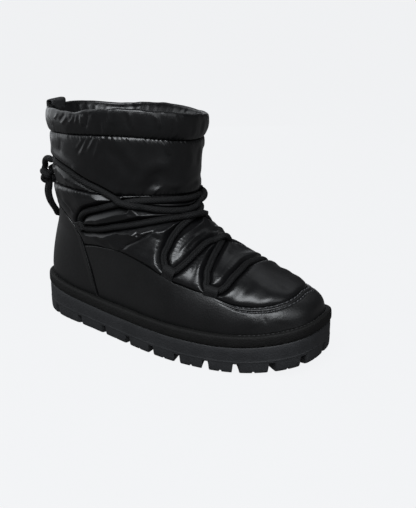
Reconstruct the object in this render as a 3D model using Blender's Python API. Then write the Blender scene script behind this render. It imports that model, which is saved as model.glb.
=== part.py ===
"""Padded winter boot for the right foot, pull-on, with a round lace wound over vamp and ankle.

Frame: +X points to the toe, +Y to the inner side of the foot, +Z up. The tread stands on Z = 0.
All sizes are metres. "around" runs from 0 at the heel's back, along the outer side to 0.5 at the toe,
and back along the inner side to 1. "up" runs from 0 at the sole to 1 at the collar.
"""
import math

import bmesh
import bpy
import numpy as np

# Step to a neighbouring place where a direction is measured
NEARBY = 0.004

# Clearances
GAP = 0.0003
OVERLAY_GAP = 0.0007

# Plan of the sole
LENGTH = 0.280
BALL_LATERAL = 0.058
BALL_MEDIAL = 0.050
HEEL_HALF = 0.0407
WAIST = 0.004
WAIST_AT = 0.42
WAIST_SPAN = 0.13
BALL_AT = 0.66
HEEL_AT = 0.18
TOE_POWER = 2.9
HEEL_POWER = 2.75
SWING = 0.0035
SWING_FROM = 0.45

# Side profile of the sole
OUTSOLE_HEIGHT = 0.0225
WELT_HEIGHT = 0.009
TOE_SPRING = 0.011
WELT_TOE_RISE = 0.013
WELT_HEEL_RISE = 0.0075
TOE_BREAK = 0.056
HEEL_BREAK = -0.042

# Side wall of the outsole, from the tread up: share of its height and how far it stands in
OUTSOLE_WALL = (
    (0.00, 0.0022),
    (0.06, 0.0008),
    (0.40, 0.0004),
    (0.44, 0.0014),
    (0.94, 0.0014),
    (1.00, 0.0024),
)
# Edge of the welt, from its underside up: share of its height and how far it stands in
WELT_WALL = (
    (0.00, 0.0010),
    (0.14, 0.0000),
    (0.62, 0.0002),
    (0.88, 0.0012),
    (1.00, 0.0030),
)

# Tread: gaps between the side lugs, by their place around the outer half of the sole
SIDE_GAPS = (0.090, 0.147, 0.190, 0.227, 0.259, 0.291, 0.323, 0.358, 0.404, 0.455)
END_GAPS = (0.0, 0.5)
LUG_GAP = 0.0055
LUG_DEPTH = 0.0060
LUG_REACH = 0.017
CENTRE_GROOVES = (-0.100, -0.068, -0.036, -0.006, 0.021, 0.048, 0.074, 0.100)
CENTRE_GROOVE = (0.0045, 0.034, 0.0045)
CUTTER_MARGIN = 0.004

# Insole
INSOLE_HEIGHT = 0.004
INSOLE_FOOT = 0.0012
INSOLE_TOP = 0.0036

# Rings of the upper. Each lies between a back and a front point; heel, lateral and medial are half widths,
# power is the fullness of its ends, sag is how far it follows the sole's line, lean lifts its outer side
# and crown lifts both sides against the ends
HEEL_END = -0.1330
TOE_END = 0.1332
RING_COLUMNS = (
    "up", "back_x", "back_z", "front_x", "front_z",
    "heel", "lateral", "medial", "power", "sag", "lean", "crown",
)
RINGS = (
    (0.00, HEEL_END, None, TOE_END, None, 0.0340, 0.0512, 0.0433, 2.80, 1.00, 0.0, 0.0),
    (0.07, -0.1332, 0.0470, 0.1303, 0.0515, 0.0352, 0.0518, 0.0443, 2.70, 0.90, 0.0, 0.0),
    (0.14, -0.1320, 0.0580, 0.1224, 0.0570, 0.0360, 0.0510, 0.0445, 2.55, 0.70, 0.0, 0.0),
    (0.22, -0.1292, 0.0700, 0.1100, 0.0620, 0.0369, 0.0492, 0.0442, 2.45, 0.50, 0.0, 0.0),
    (0.30, -0.1258, 0.0820, 0.0935, 0.0670, 0.0378, 0.0470, 0.0430, 2.35, 0.30, 0.0, 0.0),
    (0.38, -0.1228, 0.0920, 0.0760, 0.0730, 0.0390, 0.0448, 0.0423, 2.25, 0.15, 0.0, 0.0),
    (0.46, -0.1208, 0.1010, 0.0580, 0.0795, 0.0408, 0.0430, 0.0420, 2.20, 0.05, 0.0, 0.0),
    (0.54, -0.1203, 0.1100, 0.0415, 0.0870, 0.0430, 0.0430, 0.0430, 2.15, 0.00, 0.0, 0.0),
    (0.62, -0.1203, 0.1200, 0.0275, 0.0975, 0.0455, 0.0450, 0.0450, 2.10, 0.00, 0.0, 0.0),
    (0.70, -0.1201, 0.1320, 0.0185, 0.1140, 0.0485, 0.0480, 0.0480, 2.10, 0.00, 0.0, 0.0),
    (0.85, -0.1203, 0.1615, 0.0172, 0.1550, 0.0535, 0.0530, 0.0530, 2.10, 0.00, 0.0025, 0.0015),
    (1.00, -0.1225, 0.1920, 0.0235, 0.1930, 0.0570, 0.0570, 0.0570, 2.10, 0.00, 0.0045, 0.0035),
)
COLUMNS_AROUND = 60
FOOT_ROWS = 17
SHAFT_ROWS = 5
CUFF_ROWS = 3
INNER_ROWS = 8
FOOT_WALL = 0.0040
COLLAR_WALL = 0.0065
RIM_RISE = 0.0022

# Dip and rise of the collar's edge: place around, and height; it fades out down the cuff
COLLAR_EDGE = (
    (0.000, 0.0000),
    (0.045, 0.0000),
    (0.110, 0.0004),
    (0.145, 0.0002),
    (0.165, -0.0012),
    (0.180, -0.0030),
    (0.200, -0.0050),
    (0.220, -0.0053),
    (0.250, -0.0030),
    (0.285, -0.0008),
    (0.320, 0.0012),
    (0.370, 0.0015),
    (0.470, 0.0009),
    (0.530, -0.0003),
    (0.580, -0.0013),
    (0.650, -0.0020),
    (0.750, 0.0000),
    (0.860, -0.0012),
    (0.930, 0.0020),
    (0.965, 0.0006),
    (1.000, 0.0000),
)
COLLAR_FROM = 0.92

# Sewn seams pulled into the padding: place around from the heel's back, and up the upper
ANKLE_SEAM = (
    (0.000, 0.676),
    (0.060, 0.683),
    (0.123, 0.700),
    (0.198, 0.724),
    (0.270, 0.736),
    (0.330, 0.748),
    (0.400, 0.758),
    (0.500, 0.754),
)
CUFF_SEAM = (
    (0.000, 0.904),
    (0.138, 0.908),
    (0.240, 0.915),
    (0.330, 0.927),
    (0.410, 0.926),
    (0.500, 0.922),
)
SEAM_HALF = 0.018
SEAM_DEPTH = 0.0020

# Leather overlays
LEATHER = 0.0014
# Top edge of the mudguard: distance from the toe around the boot, and its place up the upper
MUDGUARD_EDGE = (
    (0.000, 0.178),
    (0.055, 0.155),
    (0.100, 0.145),
    (0.134, 0.165),
    (0.152, 0.202),
    (0.198, 0.260),
    (0.220, 0.322),
    (0.250, 0.368),
    (0.300, 0.348),
    (0.345, 0.292),
)
MUDGUARD_COLUMNS = 44
MUDGUARD_ROWS = 5
# Front edge of the heel counter: place up the upper, and distance around from the heel's back
COUNTER_EDGE = (
    (0.000, 0.1740),
    (0.150, 0.1690),
    (0.300, 0.1610),
    (0.384, 0.1570),
    (0.468, 0.1480),
    (0.520, 0.1300),
    (0.552, 0.1000),
    (0.570, 0.0650),
)
COUNTER_TOP = 0.570
COUNTER_COLUMNS = 15
COUNTER_ROWS = 12
PANEL_SEAM = 0.0012

# Pull loop
LOOP_WIDTH = 0.016
LOOP_THICKNESS = 0.0016
LOOP_AROUND = 0.021
LOOP_STAND = 0.0096
LOOP_INSIDE = 0.010
LOOP_OUTSIDE = 0.018
LOOP_CLEAR = 0.0020
LOOP_SQUARENESS = 0.6

# Lace and the webbing loops that it runs through
LACE_RADIUS = 0.00275
LACE_SIDES = 8
LACE_STEP = 0.022
LACE_BEND = 60.0
LACE_LIFT = LACE_RADIUS + 0.0007
HOOK_RADIUS = 0.0037
HOOK_THICKNESS = 0.0011
HOOK_LIFT = HOOK_RADIUS + 0.5 * HOOK_THICKNESS + 0.0004
HOOK_WIDTH = 0.0050
HOOK_OPEN = 165.0
HOOK_STEPS = 13
# Places of the loops on the outer side, with the way in which the lace runs through each
HOOKS = (
    ("vamp_loop_front", 0.348, 0.242, "level"),
    ("vamp_loop_back", 0.306, 0.304, "level"),
    ("ankle_loop", 0.183, 0.508, "upright"),
)
# Routes of the lace on the upper, each from loop to loop: around, up
FRONT_BAR_HALF = (
    (0.366, 0.248),
    (0.381, 0.275),
    (0.414, 0.339),
    (0.455, 0.386),
)
FRONT_BAR_MIDDLE = ((0.5, 0.408),)
VAMP_OVER = (
    (0.330, 0.356),
    (0.347, 0.396),
    (0.378, 0.458),
    (0.408, 0.506),
    (0.448, 0.551),
    (0.482, 0.567),
    (0.510, 0.558),
    (0.545, 0.528),
    (0.578, 0.485),
    (0.606, 0.425),
    (0.626, 0.365),
    (0.639, 0.304),
)
VAMP_UNDER = (
    (0.670, 0.356),
    (0.653, 0.396),
    (0.622, 0.458),
    (0.592, 0.506),
    (0.552, 0.541),
    (0.506, 0.537),
    (0.451, 0.496),
    (0.411, 0.438),
    (0.379, 0.369),
    (0.361, 0.304),
)
ANKLE_CROSS = (
    (0.680, 0.410),
    (0.662, 0.475),
    (0.618, 0.578),
    (0.579, 0.639),
    (0.542, 0.669),
    (0.497, 0.686),
    (0.460, 0.690),
    (0.416, 0.686),
    (0.366, 0.667),
    (0.317, 0.634),
    (0.277, 0.596),
    (0.229, 0.527),
    (0.202, 0.496),
)
OUTER_BAND = (
    (0.202, 0.514),
    (0.206, 0.560),
    (0.225, 0.632),
    (0.258, 0.674),
    (0.300, 0.711),
    (0.347, 0.736),
    (0.414, 0.747),
    (0.490, 0.745),
    (0.552, 0.738),
    (0.613, 0.718),
    (0.664, 0.722),
    (0.715, 0.743),
    (0.759, 0.761),
    (0.808, 0.784),
    (0.860, 0.795),
    (0.912, 0.790),
)
INNER_BAND = (
    (0.798, 0.514),
    (0.794, 0.560),
    (0.775, 0.632),
    (0.742, 0.674),
    (0.700, 0.711),
    (0.653, 0.736),
    (0.610, 0.742),
    (0.560, 0.726),
    (0.514, 0.712),
    (0.428, 0.713),
    (0.387, 0.716),
    (0.336, 0.725),
    (0.301, 0.735),
    (0.270, 0.751),
    (0.241, 0.761),
    (0.192, 0.784),
    (0.140, 0.795),
    (0.088, 0.790),
)
BACK_STRAND = (
    (0.900, 0.791),
    (0.950, 0.780),
    (1.000, 0.768),
    (1.034, 0.756),
)
# Knot behind the heel, the slack of the lace before it and its two hanging ends:
# around, up and lift from the upper
KNOT = (0.048, 0.703, 0.0100)
KNOT_HALF = (0.0062, 0.0072, 0.0074)
LACE_SLACK = (
    (0.0845, 0.7880, 0.0036),
    (0.0750, 0.7900, 0.0046),
    (0.0650, 0.7860, 0.0074),
    (0.0570, 0.7720, 0.0100),
    (0.0510, 0.7580, 0.0108),
    (0.0480, 0.7475, 0.0104),
)
LACE_ENDS = (
    ("lace_end_outer", (
        (0.0530, 0.654, 0.0088),
        (0.0515, 0.604, 0.0104),
        (0.0460, 0.540, 0.0104),
        (0.0380, 0.468, 0.0088),
        (0.0310, 0.412, 0.0066),
        (0.0260, 0.380, 0.0053),
    )),
    ("lace_end_inner", (
        (0.0410, 0.657, 0.0112),
        (0.0350, 0.590, 0.0142),
        (0.0280, 0.520, 0.0144),
        (0.0200, 0.432, 0.0120),
        (0.0120, 0.378, 0.0086),
        (0.0070, 0.352, 0.0066),
    )),
)

# Materials: colour, roughness
FINISHES = {
    "rubber": ((0.018, 0.018, 0.020), 0.75),
    "welt_rubber": ((0.012, 0.012, 0.013), 0.70),
    "foam": ((0.020, 0.020, 0.022), 0.90),
    "nylon": ((0.008, 0.008, 0.009), 0.32),
    "leather": ((0.010, 0.010, 0.011), 0.42),
    "webbing": ((0.010, 0.010, 0.011), 0.80),
    "cord": ((0.009, 0.009, 0.010), 0.85),
}


def clear_scene():
    """Empty the file of its starting objects."""
    for item in list(bpy.data.objects):
        bpy.data.objects.remove(item, do_unlink=True)


def finish(name):
    """Material of that name from the table of finishes."""
    material = bpy.data.materials.get(name)
    if material is None:
        colour, roughness = FINISHES[name]
        material = bpy.data.materials.new(name)
        material.use_nodes = True
        shader = material.node_tree.nodes["Principled BSDF"]
        shader.inputs["Base Color"].default_value = (*colour, 1.0)
        shader.inputs["Roughness"].default_value = roughness
        shader.inputs["Metallic"].default_value = 0.0
    return material


def solid(name, points, faces, material):
    """Object from points and faces, with its faces turned outwards."""
    mesh = bpy.data.meshes.new(name)
    mesh.from_pydata([tuple(map(float, point)) for point in points], [], faces)
    work = bmesh.new()
    work.from_mesh(mesh)
    bmesh.ops.recalc_face_normals(work, faces=work.faces)
    bmesh.ops.triangulate(work, faces=work.faces)
    work.to_mesh(mesh)
    work.free()
    mesh.shade_smooth()
    mesh.set_sharp_from_angle(angle=math.radians(40.0))
    mesh.materials.append(finish(material))
    item = bpy.data.objects.new(name, mesh)
    bpy.context.collection.objects.link(item)
    return item


def as_cutter(item):
    """Mark an object as a tool for shaping another one."""
    item.hide_render = True
    item.display_type = "WIRE"
    return item


def combine(item, tool, operation):
    """Cut or join one solid with another."""
    step = item.modifiers.new(tool.name, "BOOLEAN")
    step.operation = operation
    step.solver = "EXACT"
    step.object = as_cutter(tool)


def ease(value, low, high):
    """Smooth step from 0 at low to 1 at high."""
    share = np.clip((value - low) / (high - low), 0.0, 1.0)
    return share * share * (3.0 - 2.0 * share)


def curve_through(knots, values, at):
    """Smooth curve through the values at the knots, read at other places."""
    knots = np.asarray(knots, float)
    values = np.asarray(values, float)
    at = np.clip(np.asarray(at, float), knots[0], knots[-1])
    slope = np.gradient(values, knots)
    index = np.clip(np.searchsorted(knots, at, side="right") - 1, 0, len(knots) - 2)
    span = knots[index + 1] - knots[index]
    s = (at - knots[index]) / span
    start = (2.0 * s**3 - 3.0 * s**2 + 1.0) * values[index] + (s**3 - 2.0 * s**2 + s) * span * slope[index]
    end = (3.0 * s**2 - 2.0 * s**3) * values[index + 1] + (s**3 - s**2) * span * slope[index + 1]
    return start + end


def toe_ramp(x):
    """Rise of the toe, 0 behind the ball and 1 at the tip."""
    return np.clip((x - TOE_BREAK) / (0.5 * LENGTH - TOE_BREAK), 0.0, 1.0) ** 2


def heel_ramp(x):
    """Rise of the heel, 0 before the waist and 1 at the back."""
    return np.clip((HEEL_BREAK - x) / (HEEL_BREAK + 0.5 * LENGTH), 0.0, 1.0) ** 2


def tread_bottom(x):
    """Height of the tread: flat from heel to ball, then the toe spring."""
    return TOE_SPRING * toe_ramp(x)


def welt_bottom(x):
    """Height of the line where welt and outsole meet."""
    return OUTSOLE_HEIGHT + WELT_TOE_RISE * toe_ramp(x) + WELT_HEEL_RISE * heel_ramp(x)


def welt_top(x):
    """Height of the welt's upper face."""
    return welt_bottom(x) + WELT_HEIGHT


def oval(around, toe_power, heel_power):
    """Share of the length and side of a closed ring with full ends."""
    angle = 2.0 * np.pi * np.asarray(around, float)
    along = -np.cos(angle)
    power = np.where(along > 0.0, toe_power, heel_power)
    side = np.maximum(1.0 - np.abs(along) ** power, 0.0) ** (1.0 / power)
    return 0.5 + 0.5 * along, -np.sign(np.sin(angle)) * side


def sole_outline(around, inset):
    """Plan of the sole, drawn in by inset."""
    share, side = oval(around, TOE_POWER, HEEL_POWER)
    grow = ease(share, HEEL_AT, BALL_AT)
    lateral = HEEL_HALF - inset + (BALL_LATERAL - HEEL_HALF) * grow
    hollow = WAIST * np.exp(-(((share - WAIST_AT) / WAIST_SPAN) ** 2))
    medial = HEEL_HALF - inset + (BALL_MEDIAL - HEEL_HALF) * grow - hollow
    y = np.where(side < 0.0, lateral, medial) * side
    y = y + SWING * np.clip((share - SWING_FROM) / (1.0 - SWING_FROM), 0.0, 1.0) ** 2
    return (share - 0.5) * (LENGTH - 2.0 * inset), y


def ring_table():
    """Ring rows as numbers: the first ring sits on the welt."""
    rows = [list(row) for row in RINGS]
    rows[0][RING_COLUMNS.index("back_z")] = welt_top(HEEL_END) + GAP
    rows[0][RING_COLUMNS.index("front_z")] = welt_top(TOE_END) + GAP
    return np.array(rows, float)


RING_TABLE = ring_table()


def ring(name, up):
    """One column of the ring table at any height."""
    return curve_through(RING_TABLE[:, 0], RING_TABLE[:, RING_COLUMNS.index(name)], up)


def collar_edge(around):
    """Height of the collar's edge above its plane."""
    table = np.array(COLLAR_EDGE)
    return curve_through(table[:, 0], table[:, 1], around % 1.0)


def upper_surface(around, up):
    """Smooth outer face of the upper."""
    power = ring("power", up)
    share, side = oval(around, power, power)
    grow = ease(share, HEEL_AT, BALL_AT)
    heel = ring("heel", up)
    foot = 1.0 - ease(up, 0.05, 0.60)
    hollow = WAIST * foot * np.exp(-(((share - WAIST_AT) / WAIST_SPAN) ** 2))
    lateral = heel + (ring("lateral", up) - heel) * grow
    medial = heel + (ring("medial", up) - heel) * grow - hollow
    y = np.where(side < 0.0, lateral, medial) * side
    y = y + foot * SWING * np.clip((share - SWING_FROM) / (1.0 - SWING_FROM), 0.0, 1.0) ** 2
    back_x = ring("back_x", up)
    front_x = ring("front_x", up)
    x = back_x + (front_x - back_x) * share
    z = ring("back_z", up) + (ring("front_z", up) - ring("back_z", up)) * share
    chord = welt_top(back_x) + (welt_top(front_x) - welt_top(back_x)) * share
    z = z + ring("sag", up) * (welt_top(x) - chord) - ring("lean", up) * side + ring("crown", up) * side**2
    z = z + collar_edge(around) * ease(up, COLLAR_FROM, 1.0)
    return np.stack([x, y, z], axis=-1)


def upper_normal(around, up):
    """Outward direction of the upper's face."""
    low = np.maximum(up - NEARBY, 0.0)
    high = np.minimum(up + NEARBY, 1.0)
    along = upper_surface(around + NEARBY, up) - upper_surface(around - NEARBY, up)
    rise = upper_surface(around, high) - upper_surface(around, low)
    normal = np.cross(along, rise)
    return normal / np.linalg.norm(normal, axis=-1, keepdims=True)


def seam_line(table, around):
    """How high a seam lies at that place around the boot, alike on both sides."""
    table = np.array(table)
    return curve_through(table[:, 0], table[:, 1], 0.5 - np.abs(np.abs(around) % 1.0 - 0.5))


def seam_dip(around, up):
    """Depth of the padding's skin at the two sewn seams."""
    ankle = np.exp(-(((up - seam_line(ANKLE_SEAM, around)) / SEAM_HALF) ** 2))
    cuff = np.exp(-(((up - seam_line(CUFF_SEAM, around)) / SEAM_HALF) ** 2))
    return -SEAM_DEPTH * (ankle + cuff)


def on_upper(around, up, lift):
    """Point at that height above the upper's face, never below the welt's top."""
    around = np.asarray(around, float)
    up = np.asarray(up, float)
    lift = np.asarray(lift, float)
    point = upper_surface(around, up) + upper_normal(around, up) * lift[..., None]
    point[..., 2] = np.maximum(point[..., 2], welt_top(point[..., 0]) + GAP)
    return point


def grid_faces(rows, columns, wrap_rows, wrap_columns):
    """Quads of a grid of points, closed on itself where asked."""
    faces = []
    for row in range(rows if wrap_rows else rows - 1):
        for column in range(columns if wrap_columns else columns - 1):
            right = (column + 1) % columns
            above = (row + 1) % rows
            low = row * columns
            high = above * columns
            faces.append((low + column, low + right, high + right, high + column))
    return faces


def across_faces(first, count):
    """Strips across a ring from its outer half to its inner half."""
    half = count // 2
    faces = [(first, first + 1, first + count - 1)]
    for step in range(1, half - 1):
        faces.append((first + step, first + step + 1, first + count - step - 1, first + count - step))
    faces.append((first + half - 1, first + half, first + half + 1))
    return faces


def plate(name, levels, material):
    """Solid through closed levels of equal count, from the bottom up."""
    count = len(levels[0])
    faces = grid_faces(len(levels), count, False, True)
    faces += across_faces(0, count)
    faces += across_faces((len(levels) - 1) * count, count)
    return solid(name, np.concatenate(levels), faces, material)


def sole_layer(name, wall, low, high, material):
    """Layer of the sole between two height lines, with the given side wall."""
    around = np.arange(COLUMNS_AROUND) / COLUMNS_AROUND
    levels = []
    for share, inset in wall:
        x, y = sole_outline(around, inset)
        z = low(x) + share * (high(x) - low(x))
        levels.append(np.stack([x, y, z], axis=-1))
    return plate(name, levels, material)


def box_points(centre, along, inward, half_width, reach, low, high):
    """Eight corners of an upright box that starts outside an edge and reaches inwards."""
    corners = []
    for z in (low, high):
        for side, depth in ((-1, -CUTTER_MARGIN), (1, -CUTTER_MARGIN), (1, reach), (-1, reach)):
            flat = centre + along * side * half_width + inward * depth
            corners.append((flat[0], flat[1], z))
    return corners


BOX_FACES = ((0, 3, 2, 1), (4, 5, 6, 7), (0, 1, 5, 4), (1, 2, 6, 5), (2, 3, 7, 6), (3, 0, 4, 7))


def tread_cutter():
    """All the gaps between the lugs as one tool."""
    places = list(SIDE_GAPS) + [1.0 - place for place in SIDE_GAPS] + list(END_GAPS)
    boxes = []
    for place in places:
        near = np.array([place - NEARBY, place, place + NEARBY])
        x, y = sole_outline(near, 0.0)
        along = np.array([x[2] - x[0], y[2] - y[0]])
        along = along / np.linalg.norm(along)
        inward = np.array([-along[1], along[0]])
        base = float(tread_bottom(x[1]))
        edge = np.array([x[1], y[1]])
        heights = base - CUTTER_MARGIN, base + LUG_DEPTH
        boxes.append(box_points(edge, along, inward, 0.5 * LUG_GAP, LUG_REACH, *heights))
    width, length, depth = CENTRE_GROOVE
    for x in CENTRE_GROOVES:
        base = float(tread_bottom(x))
        start = np.array([x, CUTTER_MARGIN - 0.5 * length])
        along = np.array([1.0, 0.0])
        inward = np.array([0.0, 1.0])
        reach = length - CUTTER_MARGIN
        heights = base - CUTTER_MARGIN, base + depth
        boxes.append(box_points(start, along, inward, 0.5 * width, reach, *heights))
    points = [corner for box in boxes for corner in box]
    faces = []
    for first in range(0, len(points), 8):
        faces += [tuple(first + corner for corner in face) for face in BOX_FACES]
    return solid("tread_gaps", points, faces, "rubber")


def make_outsole():
    """Lugged rubber outsole with a step along its side."""
    outsole = sole_layer("outsole", OUTSOLE_WALL, tread_bottom, lambda x: welt_bottom(x) - GAP, "rubber")
    combine(outsole, tread_cutter(), "DIFFERENCE")


def make_welt():
    """Band between outsole and upper, with a soft upper edge."""
    sole_layer("welt", WELT_WALL, welt_bottom, welt_top, "welt_rubber")


def make_insole():
    """Foam board on the welt, inside the upper."""
    around = np.arange(COLUMNS_AROUND) / COLUMNS_AROUND
    levels = []
    for inset, height in ((INSOLE_FOOT, GAP), (INSOLE_TOP, INSOLE_HEIGHT)):
        lift = np.full(COLUMNS_AROUND, -(FOOT_WALL + inset))
        ring_points = on_upper(around, np.zeros(COLUMNS_AROUND), lift)
        ring_points[:, 2] = welt_top(ring_points[:, 0]) + height
        levels.append(ring_points)
    plate("insole", levels, "foam")


def wall_thickness(up):
    """Padded wall, thicker towards the collar."""
    return FOOT_WALL + (COLLAR_WALL - FOOT_WALL) * ease(up, 0.30, 0.95)


def make_upper():
    """Hollow padded shell: outer face, rounded rim and inner face as one closed wall."""
    around = np.arange(COLUMNS_AROUND) / COLUMNS_AROUND
    every = np.ones(COLUMNS_AROUND)
    ankle = seam_line(ANKLE_SEAM, around)
    cuff = seam_line(CUFF_SEAM, around)
    rows = list(np.linspace(0.0 * every, ankle - SEAM_HALF, FOOT_ROWS)) + [ankle]
    rows += list(np.linspace(ankle + SEAM_HALF, cuff - SEAM_HALF, SHAFT_ROWS)) + [cuff]
    rows += list(np.linspace(cuff + SEAM_HALF, every, CUFF_ROWS))
    rings = [on_upper(around, up, seam_dip(around, up)) for up in rows]
    rim = on_upper(around, every, every * -0.5 * COLLAR_WALL)
    rim[:, 2] += RIM_RISE
    rings.append(rim)
    for up in np.linspace(1.0, 0.0, INNER_ROWS):
        rings.append(on_upper(around, every * up, every * -wall_thickness(up)))
    faces = grid_faces(len(rings), COLUMNS_AROUND, True, True)
    solid("upper", np.concatenate(rings), faces, "nylon")


def overlay(name, around, up, material):
    """Leather piece that lies on the upper over a grid of places."""
    rows, columns = around.shape
    inner = on_upper(around, up, np.full(around.shape, OVERLAY_GAP)).reshape(-1, 3)
    outer = on_upper(around, up, np.full(around.shape, OVERLAY_GAP + LEATHER)).reshape(-1, 3)
    faces = grid_faces(rows, columns, False, False)
    offset = rows * columns
    faces += [tuple(corner + offset for corner in reversed(face)) for face in faces]
    border = [column for column in range(columns)]
    border += [row * columns + columns - 1 for row in range(1, rows)]
    border += [(rows - 1) * columns + column for column in range(columns - 2, -1, -1)]
    border += [row * columns for row in range(rows - 2, 0, -1)]
    for here, there in zip(border, border[1:] + border[:1]):
        faces.append((here, there, there + offset, here + offset))
    solid(name, np.concatenate([inner, outer]), faces, material)


def counter_edge(up):
    """How far around the counter reaches at that height."""
    table = np.array(COUNTER_EDGE)
    return curve_through(table[:, 0], table[:, 1], up)


def mudguard_edge(around):
    """How high the mudguard reaches at that place around the boot."""
    table = np.array(MUDGUARD_EDGE)
    return curve_through(table[:, 0], table[:, 1], np.abs(around - 0.5))


def make_heel_counter():
    """Leather round the heel, with its top drawn in to a shield."""
    height = np.sin(np.linspace(0.0, 0.5 * np.pi, COUNTER_ROWS))
    up = COUNTER_TOP * height[:, None] * np.ones(COUNTER_COLUMNS)
    share = np.linspace(-1.0, 1.0, COUNTER_COLUMNS)[None, :]
    overlay("heel_counter", counter_edge(up) * share, up, "leather")


def make_mudguard():
    """Leather band from the counter round the toe and back along the other side."""
    share = np.linspace(0.0, 1.0, MUDGUARD_COLUMNS)[None, :] * np.ones((MUDGUARD_ROWS, 1))
    height = np.linspace(0.0, 1.0, MUDGUARD_ROWS)[:, None] * np.ones(MUDGUARD_COLUMNS)
    up = 0.2 * height
    for settle in range(4):
        start = counter_edge(up) + PANEL_SEAM
        around = start + (1.0 - 2.0 * start) * share
        up = height * mudguard_edge(around)
    overlay("mudguard", around, up, "leather")


def strip(name, path, across, width, thickness, material):
    """Flat strip of webbing along a path, with its width along the given direction."""
    path = np.asarray(path, float)
    across = np.asarray(across, float) / np.linalg.norm(across)
    along = np.gradient(path, axis=0)
    face = np.cross(along, across)
    face = face / np.linalg.norm(face, axis=1, keepdims=True)
    points = []
    for centre, normal in zip(path, face):
        for side, out in ((-1, -1), (1, -1), (1, 1), (-1, 1)):
            points.append(centre + across * side * 0.5 * width + normal * out * 0.5 * thickness)
    faces = grid_faces(len(path), 4, False, True)
    last = 4 * (len(path) - 1)
    faces += [(3, 2, 1, 0), (last, last + 1, last + 2, last + 3)]
    solid(name, points, faces, material)


def make_pull_loop():
    """Webbing loop over the back of the collar, sewn inside and outside."""
    place = np.array(LOOP_AROUND), np.array(1.0)
    edge = upper_surface(*place)
    out = upper_normal(*place) * (1.0, 1.0, 0.0)
    out = out / np.linalg.norm(out)
    outside = 0.5 * LOOP_THICKNESS + GAP
    inside = -(COLLAR_WALL + 0.5 * LOOP_THICKNESS + LOOP_CLEAR)
    middle = 0.5 * (outside + inside)
    radius = 0.5 * (outside - inside)
    profile = [(inside, -LOOP_INSIDE), (inside, 0.0)]
    for angle in np.radians(np.linspace(0.0, 180.0, 9)):
        along = math.copysign(abs(math.cos(angle)) ** LOOP_SQUARENESS, math.cos(angle))
        rise = max(math.sin(angle), 0.0) ** LOOP_SQUARENESS
        profile.append((middle - radius * along, LOOP_STAND - radius + radius * rise))
    profile += [(outside, -0.002), (outside + 0.0004, -LOOP_OUTSIDE)]
    path = [edge + out * away + np.array((0.0, 0.0, height)) for away, height in profile]
    across = np.cross((0.0, 0.0, 1.0), out)
    strip("pull_loop", path, across, LOOP_WIDTH, LOOP_THICKNESS, "webbing")


def make_hook(name, around, up, run):
    """Webbing loop round the lace, both of its ends sewn to the upper behind it."""
    place = np.array(around), np.array(up)
    centre = upper_surface(*place)
    normal = upper_normal(*place)
    rise = upper_surface(place[0], place[1] + NEARBY) - centre
    rise = rise - normal * np.dot(rise, normal)
    rise = rise / np.linalg.norm(rise)
    level = np.cross(normal, rise)
    fold, across = (rise, level) if run == "level" else (level, rise)
    path = []
    for angle in np.radians(np.linspace(-HOOK_OPEN, HOOK_OPEN, HOOK_STEPS)):
        out = HOOK_LIFT + HOOK_RADIUS * math.cos(angle)
        path.append(centre + normal * out + fold * HOOK_RADIUS * math.sin(angle))
    strip(name, path, across, HOOK_WIDTH, HOOK_THICKNESS, "webbing")


def make_hooks():
    """Lace loops on both sides of the boot."""
    for name, around, up, run in HOOKS:
        make_hook(name + "_outer", around, up, run)
        make_hook(name + "_inner", 1.0 - around, up, run)


def smooth_route(route):
    """Points along a smooth curve through a route on the upper, closer together where it bends."""
    table = np.array([(*row, LACE_LIFT)[:3] for row in route])
    knots = np.arange(len(table))
    fine = np.linspace(0.0, len(table) - 1.0, 30 * len(table))
    around, up, lift = (curve_through(knots, table[:, column], fine) for column in range(3))
    path = on_upper(around, up, lift)
    chords = np.diff(path, axis=0)
    lengths = np.linalg.norm(chords, axis=1)
    forward = chords / lengths[:, None]
    turns = np.degrees(np.arccos(np.clip(np.sum(forward[1:] * forward[:-1], axis=1), -1.0, 1.0)))
    effort = lengths / LACE_STEP + np.concatenate([[0.0], turns]) / LACE_BEND
    total = np.concatenate([[0.0], np.cumsum(effort)])
    count = max(4, int(math.ceil(total[-1])) + 1)
    even = np.linspace(0.0, total[-1], count)
    return np.stack([np.interp(even, total, path[:, axis]) for axis in range(3)], axis=-1)


def rod(name, path, material):
    """Round tube with closed ends along a path."""
    along = np.gradient(path, axis=0)
    along = along / np.linalg.norm(along, axis=1, keepdims=True)
    side = np.cross(along[0], (0.0, 0.0, 1.0))
    points = []
    for centre, forward in zip(path, along):
        side = side - forward * np.dot(side, forward)
        side = side / np.linalg.norm(side)
        other = np.cross(forward, side)
        for corner in range(LACE_SIDES):
            angle = 2.0 * math.pi * corner / LACE_SIDES
            points.append(centre + LACE_RADIUS * (math.cos(angle) * side + math.sin(angle) * other))
    faces = grid_faces(len(path), LACE_SIDES, False, True)
    last = LACE_SIDES * (len(path) - 1)
    faces.append(tuple(reversed(range(LACE_SIDES))))
    faces.append(tuple(range(last, last + LACE_SIDES)))
    return solid(name, points, faces, material)


def mirrored(route):
    """The same route on the other side of the boot."""
    return tuple((1.0 - around, up) for around, up in route)


def make_strands(name, routes):
    """Stretches of the lace, joined into one solid where they cross."""
    lace = rod(name, smooth_route(routes[0]), "cord")
    for number, route in enumerate(routes[1:]):
        combine(lace, rod("%s_strand_%d" % (name, number), smooth_route(route), "cord"), "UNION")


def make_lace():
    """Lace over toe, vamp and ankle; its stretches end clear of the webbing loops."""
    make_strands("lace_front_bar", (FRONT_BAR_HALF + FRONT_BAR_MIDDLE + mirrored(FRONT_BAR_HALF)[::-1],))
    make_strands("lace_vamp_cross", (VAMP_OVER, VAMP_UNDER))
    ankle = (ANKLE_CROSS, mirrored(ANKLE_CROSS), OUTER_BAND, INNER_BAND, BACK_STRAND)
    make_strands("lace_ankle_wrap", ankle)


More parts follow.
